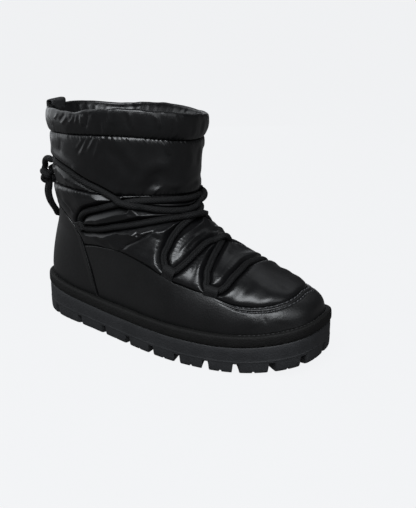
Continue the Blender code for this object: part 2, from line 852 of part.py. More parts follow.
def cord(name, path):
    """Free piece of lace as a curve with a round section and closed ends."""
    curve = bpy.data.curves.new(name, "CURVE")
    curve.dimensions = "3D"
    curve.bevel_depth = LACE_RADIUS
    curve.bevel_resolution = 2
    curve.use_fill_caps = True
    spline = curve.splines.new("POLY")
    spline.points.add(len(path) - 1)
    for point, place in zip(spline.points, path):
        point.co = (*map(float, place), 1.0)
    curve.materials.append(finish("cord"))
    item = bpy.data.objects.new(name, curve)
    bpy.context.collection.objects.link(item)


def make_knot():
    """Knot behind the heel, the slack that leads into it and two hanging ends."""
    work = bmesh.new()
    bmesh.ops.create_icosphere(work, subdivisions=2, radius=1.0)
    mesh = bpy.data.meshes.new("lace_knot")
    centre = on_upper(*KNOT)
    for vertex in work.verts:
        vertex.co = [centre[axis] + vertex.co[axis] * KNOT_HALF[axis] for axis in range(3)]
    work.to_mesh(mesh)
    work.free()
    mesh.shade_smooth()
    mesh.materials.append(finish("cord"))
    bpy.context.collection.objects.link(bpy.data.objects.new("lace_knot", mesh))
    cord("lace_slack", smooth_route(LACE_SLACK))
    for name, route in LACE_ENDS:
        cord(name, smooth_route(route))


clear_scene()
make_outsole()
make_welt()
make_insole()
make_upper()
make_mudguard()
make_heel_counter()
make_pull_loop()
make_hooks()
make_lace()
make_knot()
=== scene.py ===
"""Looks of a padded winter boot for the right foot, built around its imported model.

Metres; +X points to the toe, +Y to the inner side of the foot, +Z up. "around" runs from 0 at the heel's
back, along the outer side to 0.5 at the toe and back along the inner side; "up" runs from sole to collar.
"""
import math

import bmesh
import bpy
import numpy as np
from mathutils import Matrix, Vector, kdtree, noise


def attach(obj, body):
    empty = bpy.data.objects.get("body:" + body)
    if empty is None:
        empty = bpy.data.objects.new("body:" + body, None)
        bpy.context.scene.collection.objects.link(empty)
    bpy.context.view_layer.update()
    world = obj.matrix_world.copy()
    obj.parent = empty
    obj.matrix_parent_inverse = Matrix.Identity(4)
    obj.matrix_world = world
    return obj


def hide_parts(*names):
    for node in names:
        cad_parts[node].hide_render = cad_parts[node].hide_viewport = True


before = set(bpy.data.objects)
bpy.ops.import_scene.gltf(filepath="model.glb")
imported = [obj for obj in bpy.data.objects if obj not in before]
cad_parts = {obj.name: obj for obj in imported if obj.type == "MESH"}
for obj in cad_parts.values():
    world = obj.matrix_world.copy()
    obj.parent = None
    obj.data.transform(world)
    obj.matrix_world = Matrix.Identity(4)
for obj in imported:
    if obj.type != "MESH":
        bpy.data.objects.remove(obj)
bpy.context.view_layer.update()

# Studio: a pale even floor under large soft lamps, with the camera at the boot's outer side.
# The camera stands a little above the toe and looks along the boot, as the picture was taken.
PICTURE_WIDTH = 416
FOCAL_PIXELS = 759.0
SENSOR_WIDTH = 36.0
CAMERA_AIM = Vector((0.0248, 0.0114, 0.0730))
CAMERA_TURN = math.radians(31.03)
CAMERA_RISE = math.radians(18.8)
CAMERA_DISTANCE = 0.66
FLOOR_HALF = 40.0
FLOOR_COLOUR = (0.02, 0.02, 0.0204)
FLOOR_GLOW_COLOUR = (0.93, 0.94, 0.955)
FLOOR_GLOW_SEEN, FLOOR_GLOW_CAST = 0.935, 0.12
BACKDROP_COLOUR = (0.884, 0.887, 0.891)
ROOM_COLOUR = (0.050, 0.051, 0.053)
LAMP_COLOUR = (0.93, 0.965, 1.0)
# Soft lamps: name, turn from the outer side towards the toe, rise, distance, size, power
LAMPS = (
    ("main", 18.0, 49.0, 1.20, (1.00, 0.74), 20.0),
    ("outer_side", -92.0, 20.0, 1.05, (1.30, 1.00), 5.0),
    ("heel_side", -142.0, 5.0, 1.10, (0.70, 0.50), 0.9),
    ("toe_side", 70.0, 26.0, 1.10, (0.50, 0.60), 1.4),
    ("back", 175.0, 48.0, 1.20, (0.70, 0.50), 0.6),
)

toward_camera = Vector((
    math.sin(CAMERA_TURN) * math.cos(CAMERA_RISE),
    -math.cos(CAMERA_TURN) * math.cos(CAMERA_RISE),
    math.sin(CAMERA_RISE),
))
lens = bpy.data.cameras.new("camera")
lens.sensor_fit = "HORIZONTAL"
lens.sensor_width = SENSOR_WIDTH
lens.lens = SENSOR_WIDTH * FOCAL_PIXELS / PICTURE_WIDTH
lens.clip_end = 4.0 * FLOOR_HALF
camera = bpy.data.objects.new("camera", lens)
camera.location = CAMERA_AIM + CAMERA_DISTANCE * toward_camera
camera.rotation_euler = toward_camera.to_track_quat("Z", "Y").to_euler()
bpy.context.collection.objects.link(camera)
bpy.context.scene.camera = camera

for lamp_name, turn, rise, distance, size, power in LAMPS:
    turn, rise = math.radians(turn), math.radians(rise)
    lamp_way = Vector((math.sin(turn) * math.cos(rise), -math.cos(turn) * math.cos(rise), math.sin(rise)))
    lamp = bpy.data.lights.new(lamp_name, "AREA")
    lamp.shape = "RECTANGLE"
    lamp.size, lamp.size_y = size
    lamp.energy = power
    lamp.color = LAMP_COLOUR
    lamp_object = bpy.data.objects.new(lamp_name, lamp)
    lamp_object.location = CAMERA_AIM + distance * lamp_way
    lamp_object.rotation_euler = lamp_way.to_track_quat("Z", "Y").to_euler()
    bpy.context.collection.objects.link(lamp_object)

# The backdrop behind the floor is as pale as the floor; the room that the boot reflects is dim
world = bpy.data.worlds.new("studio")
world.use_nodes = True
room = world.node_tree.nodes["Background"]
room.inputs["Color"].default_value = (*ROOM_COLOUR, 1.0)
backdrop = world.node_tree.nodes.new("ShaderNodeBackground")
backdrop.inputs["Color"].default_value = (*BACKDROP_COLOUR, 1.0)
seen = world.node_tree.nodes.new("ShaderNodeMixShader")
sight = world.node_tree.nodes.new("ShaderNodeLightPath")
world.node_tree.links.new(sight.outputs["Is Camera Ray"], seen.inputs["Fac"])
world.node_tree.links.new(room.outputs["Background"], seen.inputs[1])
world.node_tree.links.new(backdrop.outputs["Background"], seen.inputs[2])
world.node_tree.links.new(seen.outputs["Shader"], world.node_tree.nodes["World Output"].inputs["Surface"])
bpy.context.scene.world = world
bpy.context.scene.view_settings.view_transform = "Standard"


def new_finish(name, roughness, colour):
    """Material with its Principled shader, and the shader itself."""
    material = bpy.data.materials.new(name)
    material.use_nodes = True
    shader = material.node_tree.nodes["Principled BSDF"]
    shader.inputs["Base Color"].default_value = (*colour, 1.0)
    shader.inputs["Roughness"].default_value = roughness
    return material, shader


def mesh_object(name, points, faces, finishes, sharp_angle=None):
    """Piece from points and faces, with its faces turned outwards."""
    mesh = bpy.data.meshes.new(name)
    mesh.from_pydata(np.asarray(points, float).tolist(), [], faces)
    for material in finishes:
        mesh.materials.append(material)
    work = bmesh.new()
    work.from_mesh(mesh)
    bmesh.ops.recalc_face_normals(work, faces=work.faces)
    work.to_mesh(mesh)
    work.free()
    mesh.shade_smooth()
    if sharp_angle is not None:
        mesh.set_sharp_from_angle(angle=math.radians(sharp_angle))
    item = bpy.data.objects.new(name, mesh)
    bpy.context.collection.objects.link(item)
    return item


floor_finish, floor_shader = new_finish("pale_floor", 0.9, FLOOR_COLOUR)
floor_shader.inputs["Emission Color"].default_value = (*FLOOR_GLOW_COLOUR, 1.0)
floor_tree = floor_finish.node_tree
floor_sight = floor_tree.nodes.new("ShaderNodeLightPath")
floor_glow = floor_tree.nodes.new("ShaderNodeMapRange")
floor_glow.inputs["To Min"].default_value = FLOOR_GLOW_CAST
floor_glow.inputs["To Max"].default_value = FLOOR_GLOW_SEEN
floor_tree.links.new(floor_sight.outputs["Is Camera Ray"], floor_glow.inputs["Value"])
floor_tree.links.new(floor_glow.outputs["Result"], floor_shader.inputs["Emission Strength"])
floor_shader.inputs["Specular IOR Level"].default_value = 0.0
floor_corners = [(-FLOOR_HALF, -FLOOR_HALF, 0), (FLOOR_HALF, -FLOOR_HALF, 0),
                 (FLOOR_HALF, FLOOR_HALF, 0), (-FLOOR_HALF, FLOOR_HALF, 0)]
floor = mesh_object("floor", floor_corners, [(0, 1, 2, 3)], [floor_finish])
floor.location.z = -0.0002

# Outsole: one block of moulded black rubber, matt and a little dusty.
# Wedge-shaped gaps cut its lower half into lugs with soft corners and a small nick in the middle;
# a fine step runs round the side above the lugs, and grooves cross the middle of the tread.
SOLE_LENGTH = 0.280
BALL_LATERAL = 0.058
BALL_MEDIAL = 0.050
HEEL_HALF = 0.0407
WAIST, WAIST_AT, WAIST_SPAN = 0.004, 0.42, 0.13
BALL_AT, HEEL_AT = 0.66, 0.18
TOE_POWER, HEEL_POWER = 2.9, 2.75
SWING, SWING_FROM = 0.0035, 0.45
OUTSOLE_HEIGHT = 0.0225
WELT_HEIGHT = 0.009
TOE_SPRING = 0.011
WELT_TOE_RISE, WELT_HEEL_RISE = 0.013, 0.0075
TOE_BREAK, HEEL_BREAK = 0.056, -0.042
GAP = 0.0003
# Side wall from the welt down to the top of the gaps, then down to the tread: share of height, inset
UPPER_WALL = (
    (1.000, 0.0017), (0.975, 0.0010), (0.940, 0.0007), (0.780, 0.0006), (0.620, 0.0006),
    (0.520, 0.0006), (0.472, 0.0006), (0.458, 0.0005), (0.446, 0.0004), (0.428, 0.0004), (0.410, 0.0005),
    (0.370, 0.0005),
)
LUG_WALL = (
    (0.355, 0.0005), (0.300, 0.0005), (0.230, 0.0005), (0.155, 0.0006), (0.090, 0.0007),
    (0.045, 0.0010), (0.016, 0.0016), (0.000, 0.0026),
)
# Under side of a lug, from its edge inwards
LUG_SOLE = (0.0045, 0.0080, 0.0125, 0.0170)
SIDE_GAPS = (0.090, 0.147, 0.190, 0.227, 0.259, 0.291, 0.323, 0.358, 0.404, 0.455)
GAP_HALF_LOW, GAP_HALF_TOP = 0.0033, 0.0023
GAP_CEILING = 0.0060
GAP_SPREAD = (-1.0, -0.6, 0.0, 0.6, 1.0)
LUG_CORNER = 0.0011
LUG_CORNER_STEPS = (0.0, 0.00025, 0.0006, 0.0011)
LUG_MIDDLE_STEPS = (-0.0012, -0.0007, 0.0, 0.0007, 0.0012)
LUG_SPANS = 4
NICK_HALF, NICK_DEPTH, NICK_REACH = 0.0009, 0.0012, 0.0030
CENTRE_GROOVES = (-0.100, -0.068, -0.036, -0.006, 0.021, 0.048, 0.074, 0.100)
GROOVE_WIDTH, GROOVE_LENGTH, GROOVE_DEPTH = 0.0045, 0.034, 0.0045


def ease(value, low, high):
    """Smooth step from 0 at low to 1 at high."""
    share = np.clip((value - low) / (high - low), 0.0, 1.0)
    return share * share * (3.0 - 2.0 * share)


def toe_ramp(x):
    """Rise of the toe, 0 behind the ball and 1 at the tip."""
    return np.clip((x - TOE_BREAK) / (0.5 * SOLE_LENGTH - TOE_BREAK), 0.0, 1.0) ** 2


def heel_ramp(x):
    """Rise of the heel, 0 before the waist and 1 at the back."""
    return np.clip((HEEL_BREAK - x) / (HEEL_BREAK + 0.5 * SOLE_LENGTH), 0.0, 1.0) ** 2


def tread_bottom(x):
    """Height of the tread: flat from heel to ball, then the toe spring."""
    return TOE_SPRING * toe_ramp(x)


def welt_bottom(x):
    """Height of the line where welt and outsole meet."""
    return OUTSOLE_HEIGHT + WELT_TOE_RISE * toe_ramp(x) + WELT_HEEL_RISE * heel_ramp(x)


def welt_top(x):
    """Height of the welt's upper face."""
    return welt_bottom(x) + WELT_HEIGHT


def oval(around, toe_power, heel_power):
    """Share of the length and side of a closed ring with full ends."""
    angle = 2.0 * np.pi * np.asarray(around, float)
    along = -np.cos(angle)
    power = np.where(along > 0.0, toe_power, heel_power)
    side = np.maximum(1.0 - np.abs(along) ** power, 0.0) ** (1.0 / power)
    return 0.5 + 0.5 * along, -np.sign(np.sin(angle)) * side


def sole_outline(around, inset):
    """Plan of the sole, drawn in by inset."""
    share, side = oval(around, TOE_POWER, HEEL_POWER)
    grow = ease(share, HEEL_AT, BALL_AT)
    lateral = HEEL_HALF - inset + (BALL_LATERAL - HEEL_HALF) * grow
    hollow = WAIST * np.exp(-(((share - WAIST_AT) / WAIST_SPAN) ** 2))
    medial = HEEL_HALF - inset + (BALL_MEDIAL - HEEL_HALF) * grow - hollow
    y = np.where(side < 0.0, lateral, medial) * side
    y = y + SWING * np.clip((share - SWING_FROM) / (1.0 - SWING_FROM), 0.0, 1.0) ** 2
    return (share - 0.5) * (SOLE_LENGTH - 2.0 * inset), y


def run_length(points):
    """Distance along a line of points, from its first one."""
    steps = np.linalg.norm(np.diff(points, axis=0), axis=1)
    return np.concatenate([[0.0], np.cumsum(steps)])


def grid_faces(rows, columns, wrap_rows, wrap_columns):
    """Quads of a grid of points, closed on itself where asked."""
    row = np.arange(rows if wrap_rows else rows - 1)[:, None]
    column = np.arange(columns if wrap_columns else columns - 1)[None, :]
    low = row * columns
    high = ((row + 1) % rows) * columns
    right = (column + 1) % columns
    corners = [low + column, low + right, high + right, high + column]
    return np.stack(corners, axis=-1).reshape(-1, 4).tolist()


def across_faces(first, count):
    """Strips across a ring from its outer half to its inner half."""
    half = count // 2
    faces = [(first, first + 1, first + count - 1)]
    for step in range(1, half - 1):
        faces.append((first + step, first + step + 1, first + count - step - 1, first + count - step))
    faces.append((first + half - 1, first + half, first + half + 1))
    return faces


def lug_columns(gap_half):
    """Places round the sole's edge of all columns, with each one's part in its lug: corner, nick, gap."""
    fine = np.linspace(0.0, 1.0, 6001)
    run = run_length(np.stack(sole_outline(fine, 0.0), axis=-1))
    gaps = sorted([0.0, 0.5] + list(SIDE_GAPS) + [1.0 - place for place in SIDE_GAPS])
    centres = np.append(np.interp(gaps, fine, run), run[-1])
    spread = gap_half * np.array(GAP_SPREAD)
    places, corner, nick, in_gap = [], [], [], []
    for here, there in zip(centres[:-1], centres[1:]):
        start, end = here + gap_half, there - gap_half
        middle = 0.5 * (start + end)
        first = start + np.array(LUG_CORNER_STEPS)
        inner = middle + np.array(LUG_MIDDLE_STEPS)
        left = np.linspace(first[-1], inner[0], LUG_SPANS + 1)[1:-1]
        right = np.linspace(inner[-1], end - LUG_CORNER_STEPS[-1], LUG_SPANS + 1)[1:-1]
        last = (end - np.array(LUG_CORNER_STEPS))[::-1]
        lug = np.concatenate([first, left, inner, right, last])
        row = np.concatenate([here + spread[2:], lug, there + spread[:2]])
        edge = np.minimum(row - start, end - row)
        places.append(row)
        in_gap.append(edge < -1e-9)
        corner.append(np.clip(edge / LUG_CORNER, 0.0, 1.0))
        nick.append(np.abs(row - middle))
    places = np.concatenate(places) % run[-1]
    around = np.interp(places, run, fine)
    return around, np.concatenate(corner), np.concatenate(nick), np.concatenate(in_gap)


def outsole_rings():
    """Rings of the outsole from the welt down the lugs and in under the tread."""
    rings = []
    around, corner, nick, in_gap = lug_columns(GAP_HALF_TOP)
    for share, inset in UPPER_WALL:
        x, y = sole_outline(around, inset)
        low = tread_bottom(x)
        rings.append(np.stack([x, y, low + share * (welt_bottom(x) - GAP - low)], axis=-1))
    last_share, last_inset = UPPER_WALL[-1]
    reach = LUG_SOLE[-1]
    lug_rows = [(share, inset) for share, inset in LUG_WALL] + [(0.0, inset) for inset in LUG_SOLE]
    for number, (share, inset) in enumerate(lug_rows):
        half = GAP_HALF_LOW + (GAP_HALF_TOP - GAP_HALF_LOW) * share / last_share
        around, corner, nick, in_gap = lug_columns(half)
        rounding = LUG_CORNER * (1.0 - np.sqrt(np.maximum(1.0 - (1.0 - corner) ** 2, 0.0)))
        fade = 1.0 - ease(inset, 0.004, reach)
        ceiling_share = min((number + 1) / len(LUG_WALL), 1.0)
        down_share = max(number + 1 - len(LUG_WALL), 0) / len(LUG_SOLE)
        gap_inset = last_inset + (reach - last_inset) * ceiling_share
        x, y = sole_outline(around, np.where(in_gap, gap_inset, inset + 0.6 * rounding * fade))
        low = tread_bottom(x)
        height = welt_bottom(x) - GAP - low
        ceiling = last_share * height + (GAP_CEILING - last_share * height) * ceiling_share
        nicked = (nick < NICK_HALF) & (share < 0.05) & (inset < NICK_REACH)
        lug_z = low + share * height + np.where(nicked, NICK_DEPTH, 0.0)
        z = np.where(in_gap, low + ceiling * (1.0 - down_share), lug_z)
        rings.append(np.stack([x, y, z], axis=-1))
    return rings


def cut_grooves(item):
    """Cross grooves in the middle of the tread, cut out of the sole."""
    points, faces = [], []
    for x in CENTRE_GROOVES:
        base = float(tread_bottom(x))
        for z in (base - 0.01, base + GROOVE_DEPTH):
            slope = 0.35 * GROOVE_WIDTH if z > base else 0.65 * GROOVE_WIDTH
            for side, end in ((-1, -1), (1, -1), (1, 1), (-1, 1)):
                points.append((x + side * slope, end * 0.5 * GROOVE_LENGTH, z))
        first = len(points) - 8
        for face in ((0, 3, 2, 1), (4, 5, 6, 7), (0, 1, 5, 4), (1, 2, 6, 5), (2, 3, 7, 6), (3, 0, 4, 7)):
            faces.append(tuple(first + corner for corner in face))
    tool = mesh_object("groove_tool", points, faces, [])
    cut = item.modifiers.new("grooves", "BOOLEAN")
    cut.operation = "DIFFERENCE"
    cut.object = tool
    ready = item.evaluated_get(bpy.context.evaluated_depsgraph_get())
    item.data = bpy.data.meshes.new_from_object(ready)
    item.modifiers.clear()
    bpy.data.objects.remove(tool, do_unlink=True)


def shared_effect(name, inputs, outputs):
    """Empty node group with named sockets, and its input and output nodes."""
    group = bpy.data.node_groups.new(name, "ShaderNodeTree")
    for label, kind, value in inputs:
        socket = group.interface.new_socket(name=label, in_out="INPUT", socket_type=kind)
        socket.default_value = value
    for label, kind in outputs:
        group.interface.new_socket(name=label, in_out="OUTPUT", socket_type=kind)
    return group, group.nodes.new("NodeGroupInput"), group.nodes.new("NodeGroupOutput")


def add_node(tree, kind, links=(), **settings):
    """Node with its settings, linked from the given outputs to its inputs."""
    node = tree.nodes.new(kind)
    for label, value in settings.items():
        if hasattr(node, label):
            setattr(node, label, value)
        else:
            node.inputs[label].default_value = value
    for source, target in links:
        tree.links.new(source, node.inputs[target])
    return node


# Shared effect: slow change of tone and gloss over a surface, as dust, dye and handling leave it
TONE_SPECKS, TONE_SHIFT, TONE_SPAN = 1400.0, -0.02, (0.12, 0.40)
tone_group, tone_in, tone_out = shared_effect(
    "tone",
    (("Dark", "NodeSocketColor", (0.01, 0.01, 0.01, 1.0)),
     ("Light", "NodeSocketColor", (0.02, 0.02, 0.02, 1.0)),
     ("Scale", "NodeSocketFloat", 30.0),
     ("Smooth", "NodeSocketFloat", 0.4),
     ("Rough", "NodeSocketFloat", 0.5)),
    (("Color", "NodeSocketColor"), ("Roughness", "NodeSocketFloat")),
)
tone_place = add_node(tone_group, "ShaderNodeTexCoord")
tone_cloud = add_node(
    tone_group, "ShaderNodeTexNoise",
    [(tone_place.outputs["Object"], "Vector"), (tone_in.outputs["Scale"], "Scale")],
    Detail=5.0, Roughness=0.6)
tone_speck = add_node(
    tone_group, "ShaderNodeTexNoise", [(tone_place.outputs["Object"], "Vector")],
    Scale=TONE_SPECKS, Detail=2.0)
tone_share = add_node(
    tone_group, "ShaderNodeMath",
    [(tone_cloud.outputs["Fac"], 0), (tone_speck.outputs["Fac"], 1)], operation="MULTIPLY_ADD")
tone_share.inputs[2].default_value = TONE_SHIFT
tone_spread = add_node(tone_group, "ShaderNodeMapRange", [(tone_share.outputs[0], "Value")])
tone_spread.inputs["From Min"].default_value = TONE_SPAN[0]
tone_spread.inputs["From Max"].default_value = TONE_SPAN[1]
tone_mix = add_node(tone_group, "ShaderNodeMix", data_type="RGBA")
tone_group.links.new(tone_spread.outputs["Result"], tone_mix.inputs["Factor"])
tone_group.links.new(tone_in.outputs["Dark"], tone_mix.inputs[6])
tone_group.links.new(tone_in.outputs["Light"], tone_mix.inputs[7])
tone_gloss = add_node(
    tone_group, "ShaderNodeMapRange",
    [(tone_spread.outputs["Result"], "Value"), (tone_in.outputs["Smooth"], "To Min"),
     (tone_in.outputs["Rough"], "To Max")])
tone_group.links.new(tone_mix.outputs[2], tone_out.inputs["Color"])
tone_group.links.new(tone_gloss.outputs["Result"], tone_out.inputs["Roughness"])

# Shared effect: pebbled grain of leather and of rubber from an etched mould
grain_group, grain_in, grain_out = shared_effect(
    "grain",
    (("Cells", "NodeSocketFloat", 900.0),
     ("Waves", "NodeSocketFloat", 60.0),
     ("Wave Share", "NodeSocketFloat", 0.5)),
    (("Height", "NodeSocketFloat"),),
)
grain_place = add_node(grain_group, "ShaderNodeTexCoord")
grain_cells = add_node(
    grain_group, "ShaderNodeTexVoronoi",
    [(grain_place.outputs["Object"], "Vector"), (grain_in.outputs["Cells"], "Scale")], feature="SMOOTH_F1")
grain_waves = add_node(
    grain_group, "ShaderNodeTexNoise",
    [(grain_place.outputs["Object"], "Vector"), (grain_in.outputs["Waves"], "Scale")], Detail=3.0)
grain_mix = add_node(
    grain_group, "ShaderNodeMix",
    [(grain_in.outputs["Wave Share"], "Factor"), (grain_cells.outputs["Distance"], 2),
     (grain_waves.outputs["Fac"], 3)])
grain_group.links.new(grain_mix.outputs[0], grain_out.inputs["Height"])


def put_effect(material, group, **values):
    """Place a shared effect in a material with its own values."""
    node = material.node_tree.nodes.new("ShaderNodeGroup")
    node.node_tree = group
    for label, value in values.items():
        node.inputs[label.replace("_", " ")].default_value = value
    return node


def toned_finish(name, dark, light, scale, smooth, rough):
    """Material whose colour and gloss change slowly over the surface, and its shader."""
    material, shader = new_finish(name, 0.5 * (smooth + rough), dark)
    tone = put_effect(
        material, tone_group,
        Dark=(*dark, 1.0), Light=(*light, 1.0), Scale=scale, Smooth=smooth, Rough=rough)
    material.node_tree.links.new(tone.outputs["Color"], shader.inputs["Base Color"])
    material.node_tree.links.new(tone.outputs["Roughness"], shader.inputs["Roughness"])
    return material, shader


def put_relief(material, shader, depth, group, **values):
    """Relief of a finish, from a shared effect with its own values."""
    height = put_effect(material, group, **values).outputs["Height"]
    bump = add_node(material.node_tree, "ShaderNodeBump", [(height, "Height")], Distance=depth)
    material.node_tree.links.new(bump.outputs["Normal"], shader.inputs["Normal"])


outsole_finish, outsole_shader = toned_finish(
    "outsole_rubber", (0.0082, 0.0087, 0.0100), (0.0155, 0.0162, 0.0180), 70.0, 0.60, 0.76)
put_relief(outsole_finish, outsole_shader, 0.00045, grain_group, Cells=1100.0, Waves=200.0, Wave_Share=0.5)

sole_rings = outsole_rings()
sole_count = len(sole_rings[0])
sole_faces = grid_faces(len(sole_rings), sole_count, False, True)
sole_faces += across_faces(0, sole_count)
sole_faces += across_faces((len(sole_rings) - 1) * sole_count, sole_count)
outsole = mesh_object("outsole_block", np.concatenate(sole_rings), sole_faces, [outsole_finish])
cut_grooves(outsole)
outsole.data.shade_smooth()
outsole.data.set_sharp_from_angle(angle=math.radians(38.0))
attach(outsole, "root")
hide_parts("outsole")

# Welt: a band of darker textured rubber between outsole and upper, glued on and sewn through.
# Its edge is soft, and round the toe a row of thread lies in a shallow channel beside the leather.
# Edge of the welt from its underside up and in under the leather: share of height, inset
WELT_PROFILE = (
    (0.00, 0.0008), (0.04, 0.0003), (0.10, 0.0000), (0.45, 0.0000), (0.75, 0.0002), (0.88, 0.0005),
    (0.95, 0.0010), (0.985, 0.0016), (1.00, 0.0024), (0.99, 0.0032), (0.975, 0.0042), (1.00, 0.0051),
    (1.00, 0.0090),
)
WELT_COLUMNS = 420
WELT_STITCH_INSET = 0.0042
WELT_STITCH_SPAN = 0.36, 0.64
WELT_STITCH = (0.0027, 0.0008, 0.0003)
WELT_STITCH_PITCH = 0.0038
STITCH_SIDES, STITCH_RINGS, STITCH_END = 6, 5, 0.96


def row_of_stitches(name, centres, along, out, size, finish):
    """Short rounded threads laid end to end, as one piece."""
    length, width, height = size
    ring = np.linspace(0.0, 2.0 * np.pi, STITCH_SIDES, endpoint=False)
    step = np.linspace(-1.0, 1.0, STITCH_RINGS)
    fullness = np.sqrt(np.maximum(1.0 - (STITCH_END * step) ** 4, 0.0))
    side = np.cross(out, along)
    points = (
        centres[:, None, None, :]
        + along[:, None, None, :] * (0.5 * length * step)[None, :, None, None]
        + side[:, None, None, :] * (0.5 * width * fullness[:, None] * np.cos(ring))[None, :, :, None]
        + out[:, None, None, :] * (height * fullness[:, None] * np.sin(ring))[None, :, :, None]
    )
    one = grid_faces(STITCH_RINGS, STITCH_SIDES, False, True)
    one.append(list(reversed(range(STITCH_SIDES))))
    one.append(list(range((STITCH_RINGS - 1) * STITCH_SIDES, STITCH_RINGS * STITCH_SIDES)))
    per = STITCH_RINGS * STITCH_SIDES
    faces = [[number * per + corner for corner in face] for number in range(len(centres)) for face in one]
    return mesh_object(name, points.reshape(-1, 3), faces, [finish])


def along_line(points, pitch):
    """Places along a line at an even pitch, and the line's direction at each."""
    run = run_length(points)
    places = np.arange(0.5 * pitch, run[-1], pitch)
    at = lambda where: np.stack([np.interp(where, run, points[:, axis]) for axis in range(3)], axis=-1)
    ahead = at(np.minimum(places + 0.2 * pitch, run[-1])) - at(np.maximum(places - 0.2 * pitch, 0.0))
    return at(places), ahead / np.linalg.norm(ahead, axis=1, keepdims=True)


welt_finish, welt_shader = toned_finish(
    "welt_rubber", (0.0044, 0.0043, 0.0042), (0.0074, 0.0072, 0.0070), 90.0, 0.66, 0.80)
welt_shader.inputs["Specular IOR Level"].default_value = 0.18
put_relief(welt_finish, welt_shader, 0.00070, grain_group, Cells=900.0, Waves=240.0, Wave_Share=0.6)

thread_finish = toned_finish(
    "sewing_thread", (0.006, 0.006, 0.0064), (0.012, 0.012, 0.0126), 300.0, 0.60, 0.75)[0]

welt_around = np.arange(WELT_COLUMNS) / WELT_COLUMNS
welt_rings = []
for share, inset in WELT_PROFILE:
    x, y = sole_outline(welt_around, inset)
    welt_rings.append(np.stack([x, y, welt_bottom(x) + share * WELT_HEIGHT], axis=-1))
welt_faces = grid_faces(len(welt_rings), WELT_COLUMNS, False, True)
welt_faces += across_faces(0, WELT_COLUMNS)
welt_faces += across_faces((len(welt_rings) - 1) * WELT_COLUMNS, WELT_COLUMNS)
welt = mesh_object("welt_band", np.concatenate(welt_rings), welt_faces, [welt_finish], 50.0)
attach(welt, "root")
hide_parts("welt")

x, y = sole_outline(np.linspace(*WELT_STITCH_SPAN, 2001), WELT_STITCH_INSET)
welt_line = np.stack([x, y, welt_bottom(x) + 0.98 * WELT_HEIGHT], axis=-1)
centres, along = along_line(welt_line, WELT_STITCH_PITCH)
out = np.tile((0.0, 0.0, 1.0), (len(centres), 1))
welt_stitching = row_of_stitches("welt_stitching", centres, along, out, WELT_STITCH, thread_finish)
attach(welt_stitching, "root")

# Insole: a die-cut foam board covered in black cloth, laid loose on the welt inside the upper.
# Its top is dished under the heel and its edge is turned up a little.
RING_COLUMNS = (
    "up", "back_x", "back_z", "front_x", "front_z",
    "heel", "lateral", "medial", "power", "sag", "lean", "crown",
)
HEEL_END, TOE_END = -0.1330, 0.1332
# Rings of the upper, from sole to collar, as the last gives them; the first one sits on the welt
RINGS = np.array((
    (0.00, HEEL_END, welt_top(HEEL_END) + GAP, TOE_END, welt_top(TOE_END) + GAP,
     0.0340, 0.0512, 0.0433, 2.80, 1.00, 0.0, 0.0),
    (0.07, -0.1332, 0.0470, 0.1303, 0.0515, 0.0352, 0.0518, 0.0443, 2.70, 0.90, 0.0, 0.0),
    (0.14, -0.1320, 0.0580, 0.1224, 0.0570, 0.0360, 0.0510, 0.0445, 2.55, 0.70, 0.0, 0.0),
    (0.22, -0.1292, 0.0700, 0.1100, 0.0620, 0.0369, 0.0492, 0.0442, 2.45, 0.50, 0.0, 0.0),
    (0.30, -0.1258, 0.0820, 0.0935, 0.0670, 0.0378, 0.0470, 0.0430, 2.35, 0.30, 0.0, 0.0),
    (0.38, -0.1228, 0.0920, 0.0760, 0.0730, 0.0390, 0.0448, 0.0423, 2.25, 0.15, 0.0, 0.0),
    (0.46, -0.1208, 0.1010, 0.0580, 0.0795, 0.0408, 0.0430, 0.0420, 2.20, 0.05, 0.0, 0.0),
    (0.54, -0.1203, 0.1100, 0.0415, 0.0870, 0.0430, 0.0430, 0.0430, 2.15, 0.00, 0.0, 0.0),
    (0.62, -0.1203, 0.1200, 0.0275, 0.0975, 0.0455, 0.0450, 0.0450, 2.10, 0.00, 0.0, 0.0),
    (0.70, -0.1201, 0.1320, 0.0185, 0.1140, 0.0485, 0.0480, 0.0480, 2.10, 0.00, 0.0, 0.0),
    (0.85, -0.1203, 0.1615, 0.0172, 0.1550, 0.0535, 0.0530, 0.0530, 2.10, 0.00, 0.0025, 0.0015),
    (1.00, -0.1225, 0.1920, 0.0235, 0.1930, 0.0570, 0.0570, 0.0570, 2.10, 0.00, 0.0045, 0.0035),
), float)
# Dip and rise of the collar's edge: place around, and height; it fades out down the cuff
COLLAR_EDGE = (
    (0.000, 0.0013), (0.020, 0.0011), (0.040, 0.0005), (0.060, -0.0006), (0.090, -0.0028), (0.120, -0.0031),
    (0.160, -0.0034), (0.180, -0.0042), (0.200, -0.0050), (0.220, -0.0053), (0.250, -0.0030),
    (0.285, -0.0008), (0.320, 0.0012), (0.370, 0.0015),
    (0.470, 0.0009), (0.530, -0.0003), (0.580, -0.0013), (0.650, -0.0020),
    (0.750, 0.0000), (0.860, -0.0012),
    (0.930, 0.0016), (0.965, 0.0018), (1.000, 0.0013),
)
COLLAR_FROM = 0.92
NEARBY = 0.004
FOOT_WALL, COLLAR_WALL, WALL_SPAN = 0.0040, 0.0065, (0.30, 0.95)
FOOT_SPAN = 0.05, 0.60
INSOLE_HEIGHT, INSOLE_FOOT, INSOLE_TOP = 0.004, 0.0012, 0.0030
INSOLE_COLUMNS, INSOLE_ACROSS = 200, 15
INSOLE_DISH = 0.0018


